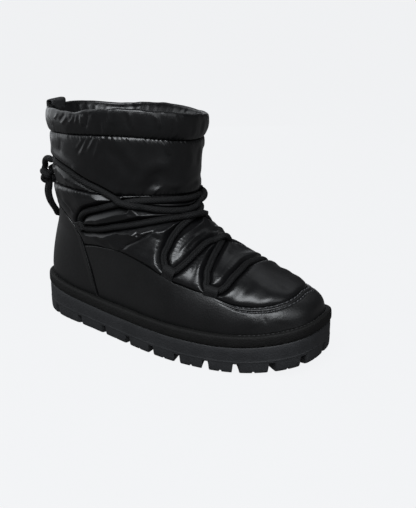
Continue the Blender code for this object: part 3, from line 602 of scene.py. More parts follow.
def curve_through(knots, values, at):
    """Smooth curve through the values at the knots, read at other places."""
    knots = np.asarray(knots, float)
    values = np.asarray(values, float)
    at = np.clip(np.asarray(at, float), knots[0], knots[-1])
    slope = np.gradient(values, knots)
    index = np.clip(np.searchsorted(knots, at, side="right") - 1, 0, len(knots) - 2)
    span = knots[index + 1] - knots[index]
    s = (at - knots[index]) / span
    start = (2.0 * s**3 - 3.0 * s**2 + 1.0) * values[index] + (s**3 - 2.0 * s**2 + s) * span * slope[index]
    end = (3.0 * s**2 - 2.0 * s**3) * values[index + 1] + (s**3 - s**2) * span * slope[index + 1]
    return start + end


def ring(name, up):
    """One column of the ring table at any height."""
    return curve_through(RINGS[:, 0], RINGS[:, RING_COLUMNS.index(name)], up)


def collar_edge(around):
    """Height of the collar's edge above its plane."""
    table = np.array(COLLAR_EDGE)
    return curve_through(table[:, 0], table[:, 1], around % 1.0)


def upper_surface(around, up):
    """Smooth outer face of the upper."""
    power = ring("power", up)
    share, side = oval(around, power, power)
    grow = ease(share, HEEL_AT, BALL_AT)
    heel = ring("heel", up)
    foot = 1.0 - ease(up, *FOOT_SPAN)
    hollow = WAIST * foot * np.exp(-(((share - WAIST_AT) / WAIST_SPAN) ** 2))
    lateral = heel + (ring("lateral", up) - heel) * grow
    medial = heel + (ring("medial", up) - heel) * grow - hollow
    y = np.where(side < 0.0, lateral, medial) * side
    y = y + foot * SWING * np.clip((share - SWING_FROM) / (1.0 - SWING_FROM), 0.0, 1.0) ** 2
    back_x = ring("back_x", up)
    front_x = ring("front_x", up)
    x = back_x + (front_x - back_x) * share
    z = ring("back_z", up) + (ring("front_z", up) - ring("back_z", up)) * share
    chord = welt_top(back_x) + (welt_top(front_x) - welt_top(back_x)) * share
    z = z + ring("sag", up) * (welt_top(x) - chord) - ring("lean", up) * side + ring("crown", up) * side**2
    z = z + collar_edge(around) * ease(up, COLLAR_FROM, 1.0)
    return np.stack([x, y, z], axis=-1)


def upper_normal(around, up):
    """Outward direction of the upper's face."""
    low = np.maximum(up - NEARBY, 0.0)
    high = np.minimum(up + NEARBY, 1.0)
    along = upper_surface(around + NEARBY, up) - upper_surface(around - NEARBY, up)
    rise = upper_surface(around, high) - upper_surface(around, low)
    normal = np.cross(along, rise)
    return normal / np.linalg.norm(normal, axis=-1, keepdims=True)


def on_upper(around, up, lift):
    """Point at that height above the upper's face, never below the welt's top."""
    around, up, lift = np.broadcast_arrays(*(np.asarray(value, float) for value in (around, up, lift)))
    point = upper_surface(around, up) + upper_normal(around, up) * lift[..., None]
    point[..., 2] = np.maximum(point[..., 2], welt_top(point[..., 0]) + GAP)
    return point


cloth_finish, cloth_shader = toned_finish(
    "insole_cloth", (0.010, 0.010, 0.011), (0.020, 0.020, 0.021), 120.0, 0.85, 0.95)
put_relief(cloth_finish, cloth_shader, 0.0003, grain_group, Cells=1600.0, Waves=700.0, Wave_Share=0.4)

insole_around = np.linspace(0.0, 0.5, INSOLE_COLUMNS // 2 + 1)
insole_rows = []
for inset, height in ((INSOLE_FOOT, GAP), (INSOLE_TOP, INSOLE_HEIGHT)):
    outer = on_upper(insole_around, 0.0, -(FOOT_WALL + inset))
    inner = on_upper(1.0 - insole_around, 0.0, -(FOOT_WALL + inset))
    share = np.linspace(0.0, 1.0, INSOLE_ACROSS)[None, :, None]
    sheet_points = outer[:, None, :] * (1.0 - share) + inner[:, None, :] * share
    bowl = 1.0 - (2.0 * share[..., 0] - 1.0) ** 2
    dish = INSOLE_DISH * bowl * (height > GAP)
    sheet_points[..., 2] = welt_top(sheet_points[..., 0]) + height - dish
    insole_rows.append(sheet_points.reshape(-1, 3))
insole_size = len(insole_around), INSOLE_ACROSS
insole_faces = [face[::-1] for face in grid_faces(*insole_size, False, False)]
insole_shift = insole_size[0] * insole_size[1]
insole_top = grid_faces(*insole_size, False, False)
insole_faces += [[corner + insole_shift for corner in face] for face in insole_top]


def border_faces(rows, columns, shift):
    """Quads that close the edge between two grids of equal size."""
    border = list(range(columns))
    border += [row * columns + columns - 1 for row in range(1, rows)]
    border += [(rows - 1) * columns + column for column in range(columns - 2, -1, -1)]
    border += [row * columns for row in range(rows - 2, 0, -1)]
    pairs = zip(border, border[1:] + border[:1])
    return [[here, there, there + shift, here + shift] for here, there in pairs]


insole_faces += border_faces(*insole_size, insole_shift)
insole = mesh_object("insole_board", np.concatenate(insole_rows), insole_faces, [cloth_finish], 50.0)
insole_weld = bmesh.new()
insole_weld.from_mesh(insole.data)
bmesh.ops.remove_doubles(insole_weld, verts=insole_weld.verts, dist=0.00001)
insole_weld.to_mesh(insole.data)
insole_weld.free()
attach(insole, "root")
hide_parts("insole")

# Upper: black woven nylon over wadding, sewn into three chambers: foot, shaft and cuff.
# The level seams pull the nylon in and gather it, and it swells between the strands of the lace.
# Each chamber is a closed padded wall with its own lining, and the cuff's nylon turns over to the inside.
# Seams between the chambers: place around from the heel's back, and up
ANKLE_SEAM = (
    (0.000, 0.676), (0.060, 0.683), (0.123, 0.700), (0.198, 0.724), (0.270, 0.736), (0.330, 0.748),
    (0.400, 0.758), (0.500, 0.754),
)
CUFF_SEAM = ((0.000, 0.904), (0.138, 0.908), (0.240, 0.915), (0.330, 0.927), (0.410, 0.926), (0.500, 0.922))
SEAM_HALF_GAP = 0.0004
SEAM_DEPTH, SEAM_WIDTH, SEAM_POWER = 0.0022, 0.0016, 0.9
SHAFT_SWELL, CUFF_SWELL = 0.0010, 0.0012
RIM_ROUND, RIM_WAVE = 0.0019, 0.0007
FACING_SPAN = 0.055
UPPER_COLUMNS = 470
HIDDEN_ROWS, FOOT_ROWS, SHAFT_ROWS, CUFF_ROWS = 8, 188, 110, 76
RIM_ROWS, FACING_ROWS, LINING_ROWS = 14, 40, 10
EDGE_MARGIN = 0.030
EDGE_SWELL, EDGE_SWELL_SPAN = 0.0030, 0.0017
# Top line of the leather round the foot: place around, and up
LEATHER_TOP = (
    (0.000, 0.570), (0.065, 0.570), (0.100, 0.552), (0.130, 0.520), (0.148, 0.468), (0.157, 0.384),
    (0.163, 0.306), (0.200, 0.348), (0.250, 0.368), (0.280, 0.322), (0.302, 0.260), (0.348, 0.202),
    (0.366, 0.165), (0.400, 0.145), (0.445, 0.155), (0.500, 0.178),
)
# Sewn line between quarter and vamp on the outer side, repeated on the inner side
QUARTER_SEAM = (
    (0.232, 0.350), (0.276, 0.475), (0.320, 0.562), (0.367, 0.633), (0.402, 0.668), (0.430, 0.690),
)
QUARTER_SEAM_HALF, QUARTER_SEAM_DEPTH = 0.0010, 0.0016
# Creases: form, half width, height, route on the upper
CUFF_CREASES = (
    ("ridge", 0.0014, 0.0015, ((0.247, 1.000), (0.247, 0.976), (0.248, 0.950))),
    ("trough", 0.0018, 0.0013, ((0.262, 1.000), (0.256, 0.976), (0.253, 0.940))),
    ("fold", 0.0020, 0.0009, ((0.208, 1.000), (0.200, 0.982), (0.190, 0.962))),
    ("ridge", 0.0012, 0.0006, ((0.228, 1.000), (0.224, 0.984), (0.216, 0.966))),
    ("ridge", 0.0011, 0.0006, ((0.236, 1.000), (0.234, 0.982), (0.232, 0.960))),
    ("ridge", 0.0011, 0.0005, ((0.270, 1.000), (0.270, 0.984), (0.271, 0.966))),
    ("ridge", 0.0012, 0.0006, ((0.182, 1.000), (0.176, 0.986), (0.168, 0.974))),
    ("fold", 0.0016, 0.0005, ((0.300, 0.990), (0.300, 0.970), (0.300, 0.946))),
    ("fold", 0.0020, 0.0008, ((0.337, 1.000), (0.341, 0.975), (0.346, 0.950))),
    ("ridge", 0.0016, 0.0009, ((0.387, 1.000), (0.394, 0.984), (0.400, 0.958))),
    ("fold", 0.0022, 0.0007, ((0.289, 0.975), (0.290, 0.952), (0.291, 0.925))),
    ("fold", 0.0030, 0.0005, ((0.140, 0.990), (0.146, 0.962), (0.158, 0.934))),
    ("trough", 0.0022, 0.0008, ((0.312, 0.968), (0.314, 0.944), (0.313, 0.925))),
    ("fold", 0.0026, 0.0005, ((0.430, 0.990), (0.436, 0.962), (0.434, 0.940))),
    ("fold", 0.0030, 0.0004, ((0.080, 0.990), (0.086, 0.960), (0.096, 0.935))),
    ("ridge", 0.0024, 0.0004, ((0.020, 0.995), (0.024, 0.965), (0.020, 0.940))),
    ("fold", 0.0030, 0.0005, ((0.478, 0.992), (0.484, 0.962), (0.480, 0.938))),
)
SHAFT_CREASES = (
    ("fold", 0.0022, 0.0007, ((0.256, 0.914), (0.244, 0.880), (0.232, 0.850))),
    ("trough", 0.0016, 0.0008, ((0.264, 0.914), (0.254, 0.886), (0.246, 0.860))),
    ("ridge", 0.0012, 0.0006, ((0.248, 0.914), (0.238, 0.888), (0.228, 0.868))),
    ("ridge", 0.0011, 0.0006, ((0.272, 0.914), (0.264, 0.890), (0.257, 0.872))),
    ("ridge", 0.0016, 0.0007, ((0.284, 0.916), (0.277, 0.880), (0.268, 0.846))),
    ("trough", 0.0018, 0.0006, ((0.294, 0.916), (0.288, 0.880), (0.282, 0.850))),
    ("ridge", 0.0013, 0.0010, ((0.408, 0.920), (0.417, 0.902), (0.427, 0.880))),
    ("fold", 0.0064, 0.0012, (
        (0.350, 0.762), (0.368, 0.794), (0.383, 0.820), (0.402, 0.832), (0.430, 0.828))),
    ("trough", 0.0028, 0.0012, ((0.364, 0.752), (0.384, 0.786), (0.402, 0.806))),
    ("ridge", 0.0016, 0.0009, ((0.376, 0.746), (0.392, 0.772), (0.410, 0.790))),
    ("fold", 0.0034, 0.0006, ((0.400, 0.786), (0.440, 0.782), (0.490, 0.790), (0.530, 0.800))),
    ("fold", 0.0060, 0.0012, ((0.300, 0.905), (0.330, 0.868), (0.345, 0.820))),
    ("trough", 0.0036, 0.0006, ((0.180, 0.900), (0.176, 0.870), (0.168, 0.836))),
    ("ridge", 0.0034, 0.0005, ((0.140, 0.900), (0.136, 0.872), (0.130, 0.830))),
    ("fold", 0.0040, 0.0010, ((0.206, 0.800), (0.224, 0.776), (0.236, 0.748))),
    ("ridge", 0.0020, 0.0008, ((0.170, 0.790), (0.180, 0.768), (0.186, 0.742))),
    ("trough", 0.0026, 0.0008, ((0.130, 0.800), (0.136, 0.770), (0.140, 0.745))),
    ("fold", 0.0040, 0.0006, ((0.470, 0.905), (0.480, 0.872), (0.478, 0.834))),
    ("fold", 0.0040, 0.0005, ((0.050, 0.890), (0.044, 0.862), (0.046, 0.834))),
    ("ridge", 0.0024, 0.0008, ((0.010, 0.910), (0.012, 0.880), (0.008, 0.850))),
)
FOOT_CREASES = (
    ("ridge", 0.0040, 0.0018, ((0.356, 0.586), (0.374, 0.620), (0.398, 0.648))),
    ("ridge", 0.0022, 0.0015, ((0.331, 0.489), (0.317, 0.435), (0.304, 0.380), (0.292, 0.309))),
    ("ridge", 0.0022, 0.0015, ((0.364, 0.474), (0.389, 0.522), (0.423, 0.571), (0.462, 0.608))),
    ("trough", 0.0018, 0.0012, ((0.380, 0.494), (0.432, 0.566), (0.494, 0.606))),
    ("ridge", 0.0016, 0.0009, ((0.392, 0.500), (0.440, 0.560), (0.492, 0.590))),
    ("ridge", 0.0016, 0.0015, (
        (0.442, 0.508), (0.411, 0.460), (0.375, 0.382), (0.354, 0.308), (0.340, 0.232))),
    ("trough", 0.0024, 0.0010, ((0.420, 0.510), (0.372, 0.410), (0.340, 0.300))),
    ("ridge", 0.0040, 0.0010, ((0.372, 0.282), (0.396, 0.326), (0.436, 0.386))),
    ("ridge", 0.0050, 0.0006, ((0.360, 0.190), (0.388, 0.250), (0.430, 0.312))),
    ("trough", 0.0034, 0.0005, ((0.374, 0.186), (0.402, 0.244), (0.442, 0.296))),
    ("ridge", 0.0052, 0.0006, ((0.388, 0.186), (0.420, 0.242), (0.458, 0.280))),
    ("trough", 0.0034, 0.0004, ((0.408, 0.180), (0.436, 0.232), (0.470, 0.262))),
    ("ridge", 0.0056, 0.0005, ((0.416, 0.178), (0.446, 0.208), (0.478, 0.228))),
    ("ridge", 0.0022, 0.0014, ((0.316, 0.672), (0.330, 0.654), (0.336, 0.634))),
    ("ridge", 0.0020, 0.0016, ((0.318, 0.606), (0.312, 0.588), (0.304, 0.562))),
    ("trough", 0.0016, 0.0012, ((0.326, 0.612), (0.320, 0.590), (0.314, 0.566))),
    ("ridge", 0.0016, 0.0010, ((0.340, 0.628), (0.334, 0.608), (0.326, 0.588))),
    ("ridge", 0.0018, 0.0010, ((0.350, 0.722), (0.354, 0.698), (0.354, 0.670))),
    ("fold", 0.0026, 0.0010, ((0.230, 0.600), (0.262, 0.576), (0.290, 0.540))),
    ("fold", 0.0030, 0.0010, ((0.206, 0.468), (0.224, 0.440), (0.236, 0.398))),
    ("trough", 0.0024, 0.0008, ((0.250, 0.500), (0.262, 0.462), (0.262, 0.420))),
    ("fold", 0.0030, 0.0010, ((0.150, 0.640), (0.170, 0.618), (0.180, 0.580))),
    ("ridge", 0.0022, 0.0008, ((0.110, 0.700), (0.130, 0.660), (0.134, 0.620))),
    ("fold", 0.0030, 0.0009, ((0.040, 0.710), (0.050, 0.660), (0.046, 0.610))),
    ("fold", 0.0030, 0.0010, ((0.480, 0.470), (0.500, 0.490), (0.520, 0.470))),
)
# Unevenness of the wadding and the leather: waves per metre, height, seed
FOOT_RUMPLE, SHAFT_RUMPLE, CUFF_RUMPLE = (45.0, 0.0006, 3.0), (40.0, 0.0007, 7.0), (45.0, 0.0006, 13.0)
FACING_RUMPLE, RIM_RUMPLE = (75.0, 0.0005, 19.0), (90.0, RIM_WAVE, 17.0)
ANKLE_SEED_FOOT, ANKLE_SEED_SHAFT, CUFF_SEED_SHAFT, CUFF_SEED_CUFF = 11, 21, 31, 41
RIM_SEED, FACING_SEED = 51, 61
CUFF_SEAM_SHARE, RIM_GATHER_SHARE, FACING_GATHER_SHARE = 0.6, 0.45, 0.6
BED_DEPTH, UNDER_LEATHER = 0.0042, 0.0002
CREASE_STEP = 0.0008
FOLD_REACH, FOLD_RISE, FOLD_TURN, RIDGE_POWER = 3.2, 1.65, 1.3, 1.6
CREASE_START, CREASE_END, INNER_SIDE_SHARE = (-0.08, 0.30), (0.70, 1.08), 0.9
# Gathers along the level seams: mean pitch, reach, height, lean
FINE_GATHERS = 0.0036, 0.0030, 0.00110, 0.55
LONG_GATHERS = 0.0190, 0.0130, 0.00070, 0.25
RIM_GATHERS = 0.0090, 0.0075, 0.00095, 0.20
# Spread of the gathers: jitter of the place, width over pitch, reach, height, lean
GATHER_JITTER, GATHER_WIDTHS, GATHER_REACHES = 0.22, (0.20, 0.30), (0.45, 1.35)
GATHER_HEIGHTS, GATHER_LEANS = (0.25, 1.0), (0.5, 1.5)
# Lace: places of its webbing loops, and its routes on the upper from loop to loop
LACE_RADIUS = 0.00275
LACE_LIFT, LACE_TURN_LIFT = 0.0010, 0.0016
LACE_SINK, LACE_SINK_UP, LACE_SINK_LIFT = 0.0020, (0.60, 0.68), (0.002, 0.006)
FRONT_BAR_HALF = ((0.366, 0.248), (0.381, 0.275), (0.414, 0.339), (0.455, 0.386))
FRONT_BAR_MIDDLE = ((0.5, 0.408),)
VAMP_OVER = (
    (0.330, 0.356), (0.347, 0.396), (0.378, 0.458), (0.408, 0.506), (0.448, 0.551), (0.482, 0.567),
    (0.510, 0.558), (0.545, 0.528), (0.578, 0.485), (0.606, 0.425), (0.626, 0.365), (0.639, 0.304),
)
VAMP_UNDER = (
    (0.670, 0.356), (0.653, 0.396), (0.622, 0.458), (0.592, 0.506), (0.552, 0.541),
    (0.506, 0.537), (0.451, 0.496), (0.411, 0.438), (0.379, 0.369), (0.361, 0.304),
)
ANKLE_CROSS = (
    (0.680, 0.410), (0.662, 0.475), (0.618, 0.578), (0.579, 0.639), (0.542, 0.669), (0.497, 0.686),
    (0.460, 0.690), (0.416, 0.686), (0.366, 0.667), (0.317, 0.634), (0.277, 0.596), (0.229, 0.527),
    (0.202, 0.496),
)
OUTER_BAND = (
    (0.202, 0.514), (0.206, 0.560), (0.225, 0.632), (0.258, 0.674), (0.300, 0.711), (0.347, 0.736),
    (0.414, 0.747), (0.490, 0.745), (0.552, 0.738), (0.613, 0.718), (0.664, 0.722), (0.715, 0.743),
    (0.759, 0.761), (0.808, 0.784), (0.860, 0.795), (0.912, 0.790),
)
INNER_BAND = (
    (0.798, 0.514), (0.794, 0.560), (0.775, 0.632), (0.742, 0.674), (0.700, 0.711), (0.653, 0.736),
    (0.610, 0.742), (0.560, 0.726), (0.514, 0.712), (0.428, 0.713), (0.387, 0.716), (0.336, 0.725),
    (0.301, 0.735), (0.270, 0.751), (0.241, 0.761), (0.192, 0.784), (0.140, 0.795), (0.088, 0.790),
)
BACK_STRAND = ((0.950, 0.780), (1.000, 0.768), (1.034, 0.756), (1.046, 0.730, 0.0080))
LACE_SLACK = (
    (0.0845, 0.7880, 0.0036), (0.0750, 0.7900, 0.0046), (0.0650, 0.7860, 0.0074), (0.0570, 0.7720, 0.0100),
    (0.0510, 0.7580, 0.0108), (0.0480, 0.7475, 0.0104), (0.0480, 0.7250, 0.0102),
)
FRONT_TURN = ((0.3583, 0.241), (0.3528, 0.239), (0.3502, 0.252), (0.3540, 0.278))
FRONT_TURN = tuple((*place, LACE_TURN_LIFT) for place in FRONT_TURN)
BACK_TURN = ((0.3160, 0.384), (0.3105, 0.348), (0.3115, 0.329), (0.3165, 0.324), (0.3232, 0.339))
BACK_TURN = tuple((*place, LACE_TURN_LIFT) for place in BACK_TURN)
ANKLE_TURN = (
    (0.2050, 0.495), (0.1850, 0.473), (0.1795, 0.492), (0.1815, 0.522), (0.1945, 0.573), (0.2142, 0.622),
)
LACE_STEP, LACE_SQUEEZE = 0.0011, 1.75
LACE_CLEAR, LACE_BANK = 0.0002, 1.1
LACE_BULGE, LACE_BULGE_AT, LACE_BULGE_HALF = 0.0007, 0.0080, 0.0040
PUCKER_PITCH, PUCKER_HEIGHT, PUCKER_AT, PUCKER_HALF = 0.0036, 0.00012, 0.0050, 0.0030
PUCKER_DRIFT, PUCKER_DRIFT_RATE = 2.0, 0.037
LACE_FIRM_SPAN, LACE_CONTACT = 0.002, 0.9
LAY_ROUNDS, LAY_APART, LAY_ENOUGH, LAY_SPREAD, RANK_STEP = 36, 5.0, 0.00005, 6, 0.4


def mirrored(route):
    """The same route on the other side of the boot."""
    return tuple((1.0 - row[0], *row[1:]) for row in route)


def lace_route():
    """The whole lace from the knot, over ankle and vamp, and back to the knot: around, up, lift, rank.

    Where two strands cross, the one of the higher rank lies on top.
    """
    bar = FRONT_BAR_HALF + FRONT_BAR_MIDDLE + mirrored(FRONT_BAR_HALF)[::-1]
    strands = (
        (7, LACE_SLACK[::-1]), (6, INNER_BAND[:2:-1]), (5, mirrored(ANKLE_TURN)[::-1]),
        (3, mirrored(ANKLE_CROSS[:-1])[::-1]), (2, BACK_TURN), (2, VAMP_OVER),
        (1, mirrored(FRONT_TURN)[::-1]), (0, bar[::-1]), (1, FRONT_TURN), (1, VAMP_UNDER[::-1]),
        (2, mirrored(BACK_TURN)[::-1]),
        (4, ANKLE_CROSS[:-1]), (5, ANKLE_TURN), (5, OUTER_BAND[3:]), (5, BACK_STRAND),
    )
    return np.array([(*(*row, LACE_LIFT)[:3], rank) for rank, route in strands for row in route])


def smooth_line(table, step):
    """Even points along a smooth curve through the rows of a table."""
    chord = on_upper(table[:, 0], table[:, 1], table[:, 2])
    knots = np.sqrt(np.linalg.norm(np.diff(chord, axis=0), axis=1))
    knots = np.concatenate([[0.0], np.cumsum(knots)])
    fine = np.linspace(0.0, knots[-1], 60 * len(table))
    columns = [curve_through(knots, column, fine) for column in table.T]
    run = run_length(on_upper(*columns[:3]))
    even = np.linspace(0.0, run[-1], max(4, int(run[-1] / step)))
    return [np.interp(even, run, column) for column in columns]


def lay_over(around, up, lift, rank):
    """Raise the lace where it crosses itself, so that the strand of the higher rank lies on top."""
    count = len(around)
    apart = int(LAY_APART * LACE_RADIUS / LACE_STEP)
    wide = LACE_SQUEEZE * LACE_RADIUS
    kernel = np.exp(-np.linspace(-2.0, 2.0, 2 * LAY_SPREAD + 1) ** 2)
    kernel = kernel / kernel.sum()
    extra = np.zeros(count)
    for settle in range(LAY_ROUNDS):
        points = on_upper(around, up, lift + extra)
        tree = kdtree.KDTree(count)
        for index, point in enumerate(points):
            tree.insert(point, index)
        tree.balance()
        push = np.zeros(count)
        for index in range(count):
            for place, other, distance in tree.find_range(points[index], wide):
                if abs(index - other) > apart and rank[index] > rank[other] + RANK_STEP:
                    push[index] = max(push[index], wide - distance)
        if push.max() < LAY_ENOUGH:
            break
        extra = extra + np.convolve(np.pad(push, LAY_SPREAD, mode="edge"), kernel, mode="valid")
    return lift + extra


lace_around, lace_up, lace_lift, lace_rank = smooth_line(lace_route(), LACE_STEP)
lace_deep = ease(lace_up, *LACE_SINK_UP) * (1.0 - ease(lace_lift, *LACE_SINK_LIFT))
lace_lift = lace_lift - LACE_SINK * lace_deep
lace_lift = lay_over(lace_around, lace_up, lace_lift, lace_rank)
lace_path = on_upper(lace_around, lace_up, lace_lift)


def nearest_on(line, points):
    """Distance from each point to a line of points, and the nearest place's number."""
    tree = kdtree.KDTree(len(line))
    for index, point in enumerate(line):
        tree.insert(point, index)
    tree.balance()
    found = [tree.find(point)[1:] for point in points.reshape(-1, 3)]
    index = np.array([row[0] for row in found]).reshape(points.shape[:-1])
    distance = np.array([row[1] for row in found]).reshape(points.shape[:-1])
    return distance, index


def crease_lift(base, normal, form, half_width, height, route):
    """Lift of one soft ridge, trough or fold along its route."""
    table = np.array([(*place, 0.0) for place in route])
    line = on_upper(*smooth_line(table, CREASE_STEP))
    low = line.min(axis=0) - FOLD_REACH * half_width
    high = line.max(axis=0) + FOLD_REACH * half_width
    near = np.all((base > low) & (base < high), axis=-1)
    lift = np.zeros(base.shape[:-1])
    spots = base[near]
    if len(spots) == 0:
        return lift
    index = np.argmin(np.linalg.norm(spots[:, None, :] - line[None, :, :], axis=-1), axis=1)
    ahead = np.gradient(line, axis=0)
    ahead = (ahead / np.linalg.norm(ahead, axis=1, keepdims=True))[index]
    offset = spots - line[index]
    past = np.sum(offset * ahead, axis=-1)
    beside = offset - ahead * past[:, None]
    side = np.sum(np.cross(normal[near], ahead) * beside, axis=-1) / half_width
    along = (index * CREASE_STEP + past) / ((len(line) - 1) * CREASE_STEP)
    taper = ease(along, *CREASE_START) * (1.0 - ease(along, *CREASE_END))
    if form == "fold":
        shape = FOLD_RISE * side * np.exp(-0.5 * (side * FOLD_TURN) ** 2)
    elif form == "ridge":
        shape = np.exp(-np.abs(side) ** RIDGE_POWER)
    else:
        shape = -np.exp(-np.abs(side) ** RIDGE_POWER)
    lift[near] = height * taper * shape
    return lift


def creases(base, normal, table):
    """Lift of all creases of a chamber, on the outer side and again on the inner side."""
    lift = np.zeros(base.shape[:-1])
    for form, half_width, height, route in table:
        lift += crease_lift(base, normal, form, half_width, height, route)
        lift += crease_lift(base, normal, form, half_width, INNER_SIDE_SHARE * height, mirrored(route))
    return lift


def seam_line(table, around):
    """How high a seam lies at that place around the boot, alike on both sides."""
    table = np.array(table)
    return curve_through(table[:, 0], table[:, 1], 0.5 - np.abs(np.abs(around) % 1.0 - 0.5))


def seam_distance(around, up, seam):
    """Height along the wall above a seam, and distance round the boot along that seam."""
    place = around[0]
    climb = upper_surface(place, seam + NEARBY) - upper_surface(place, seam - NEARBY)
    above = (up - seam) * np.linalg.norm(climb, axis=-1) / (2.0 * NEARBY)
    line = upper_surface(place, seam)
    run = run_length(np.concatenate([line, line[:1]]))
    return above, np.tile(run[:-1], (len(up), 1)), run[-1]


def gathers(above, run, total, gather, seed):
    """Puckers that lean away from a seam and fade with their distance from it."""
    pitch, reach, height, lean = gather
    draw = np.random.default_rng(seed)
    lift = np.zeros(above.shape)
    away = np.abs(above)
    near = away < 4.0 * reach
    for place in np.arange(0.0, total, pitch):
        centre = place + GATHER_JITTER * pitch * draw.uniform(-1.0, 1.0)
        width = pitch * draw.uniform(*GATHER_WIDTHS)
        length = reach * draw.uniform(*GATHER_REACHES)
        tall = height * draw.uniform(*GATHER_HEIGHTS)
        slant = lean * draw.uniform(*GATHER_LEANS)
        beside = run[near] - centre - slant * away[near]
        beside = beside - total * np.round(beside / total)
        lift[near] += tall * np.exp(-((beside / width) ** 2)) * np.exp(-((away[near] / length) ** 1.5))
    return lift


def seam_pull(above):
    """Depth of the nylon beside a seam: sharp at the thread and swelling away from it."""
    return -SEAM_DEPTH * np.exp(-((np.abs(above) / SEAM_WIDTH) ** SEAM_POWER))


def seam_lift(around, up, seam, seed):
    """Pull and gathers of one level seam."""
    above, run, total = seam_distance(around, up, seam)
    lift = seam_pull(above)
    lift += gathers(above, run, total, FINE_GATHERS, seed)
    lift += gathers(above, run, total, LONG_GATHERS, seed + 1)
    return lift


def rumple(base, scale, height, seed):
    """Slow unevenness of the wadding."""
    shift = Vector((seed, 2.3 * seed, -1.7 * seed))
    values = [noise.noise(Vector(point) * scale + shift) for point in base.reshape(-1, 3)]
    return height * np.array(values).reshape(base.shape[:-1])


def lace_bed(base, lift):
    """Nylon lift with the lace pressed into it: sunk under the lace, swollen and puckered beside it."""
    distance, index = nearest_on(lace_path, base)
    height = lace_lift[index]
    beside = np.sqrt(np.maximum(distance**2 - height**2, 0.0))
    firm = np.exp(-np.maximum(height - LACE_TURN_LIFT, 0.0) / LACE_FIRM_SPAN)
    swell = LACE_BULGE * np.exp(-(((beside - LACE_BULGE_AT) / LACE_BULGE_HALF) ** 2))
    drift = PUCKER_DRIFT * np.sin(index * PUCKER_DRIFT_RATE)
    wave = np.sin(2.0 * np.pi * index * LACE_STEP / PUCKER_PITCH + drift)
    pucker = PUCKER_HEIGHT * wave * np.exp(-(((beside - PUCKER_AT) / PUCKER_HALF) ** 2))
    under = np.minimum(beside, LACE_CONTACT * LACE_RADIUS)
    bank = LACE_BANK * np.maximum(beside - LACE_CONTACT * LACE_RADIUS, 0.0)
    bed = height - np.sqrt(LACE_RADIUS**2 - under**2) - LACE_CLEAR + bank
    return np.minimum(lift + firm * (swell + pucker), bed)


def leather_top(around):
    """How high the leather reaches round the foot."""
    table = np.array(LEATHER_TOP)
    return np.interp(0.5 - np.abs(np.abs(around) % 1.0 - 0.5), table[:, 0], table[:, 1])


def wall_thickness(up):
    """Padded wall, thicker towards the collar."""
    return FOOT_WALL + (COLLAR_WALL - FOOT_WALL) * ease(up, *WALL_SPAN)


def chamber(name, around, up, lift, rim_points, inner_up, inner_lift, nylon_inside):
    """Closed padded wall: outer face with its lift, a rim where there is one, and the inner face."""
    columns = around.shape[1]
    rows = [on_upper(around, up, lift).reshape(-1, 3)]
    if rim_points is not None:
        rows.append(rim_points.reshape(-1, 3))
    inner_around = np.tile(around[0], (len(inner_up), 1))
    rows.append(on_upper(inner_around, inner_up, inner_lift).reshape(-1, 3))
    points = np.concatenate(rows)
    count = len(points) // columns
    piece = mesh_object(name, points, grid_faces(count, columns, True, True), [nylon_finish, lining_finish])
    if not nylon_inside:
        first_inner = (count - len(inner_up)) * columns
        looks = np.zeros(len(piece.data.polygons), np.int32)
        looks[first_inner:-columns] = 1
        piece.data.polygons.foreach_set("material_index", looks)
    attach(piece, "root")
    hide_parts("upper")
    return piece


# Shared effect: small crumples of thin cloth, sharp along their crests
crumple_group, crumple_in, crumple_out = shared_effect(
    "crumple",
    (("Scale", "NodeSocketFloat", 90.0),
     ("Fine", "NodeSocketFloat", 600.0),
     ("Fine Share", "NodeSocketFloat", 0.2)),
    (("Height", "NodeSocketFloat"),),
)
crumple_place = add_node(crumple_group, "ShaderNodeTexCoord")
crumple_large = add_node(
    crumple_group, "ShaderNodeTexNoise",
    [(crumple_place.outputs["Object"], "Vector"), (crumple_in.outputs["Scale"], "Scale")],
    noise_type="RIDGED_MULTIFRACTAL", Detail=3.0, Distortion=0.6)
crumple_fine = add_node(
    crumple_group, "ShaderNodeTexNoise",
    [(crumple_place.outputs["Object"], "Vector"), (crumple_in.outputs["Fine"], "Scale")], Detail=2.0)
crumple_mix = add_node(
    crumple_group, "ShaderNodeMix",
    [(crumple_in.outputs["Fine Share"], "Factor"), (crumple_large.outputs["Fac"], 2),
     (crumple_fine.outputs["Fac"], 3)])
crumple_group.links.new(crumple_mix.outputs[0], crumple_out.inputs["Height"])

nylon_finish, nylon_shader = toned_finish(
    "padded_nylon", (0.0026, 0.0026, 0.0029), (0.0042, 0.0042, 0.0046), 60.0, 0.31, 0.41)
put_relief(nylon_finish, nylon_shader, 0.00014, crumple_group, Scale=55.0, Fine=420.0, Fine_Share=0.25)
lining_finish, lining_shader = toned_finish(
    "lining_cloth", (0.008, 0.008, 0.009), (0.016, 0.016, 0.017), 150.0, 0.8, 0.95)
put_relief(lining_finish, lining_shader, 0.0008, crumple_group, Scale=80.0, Fine=1400.0, Fine_Share=0.7)

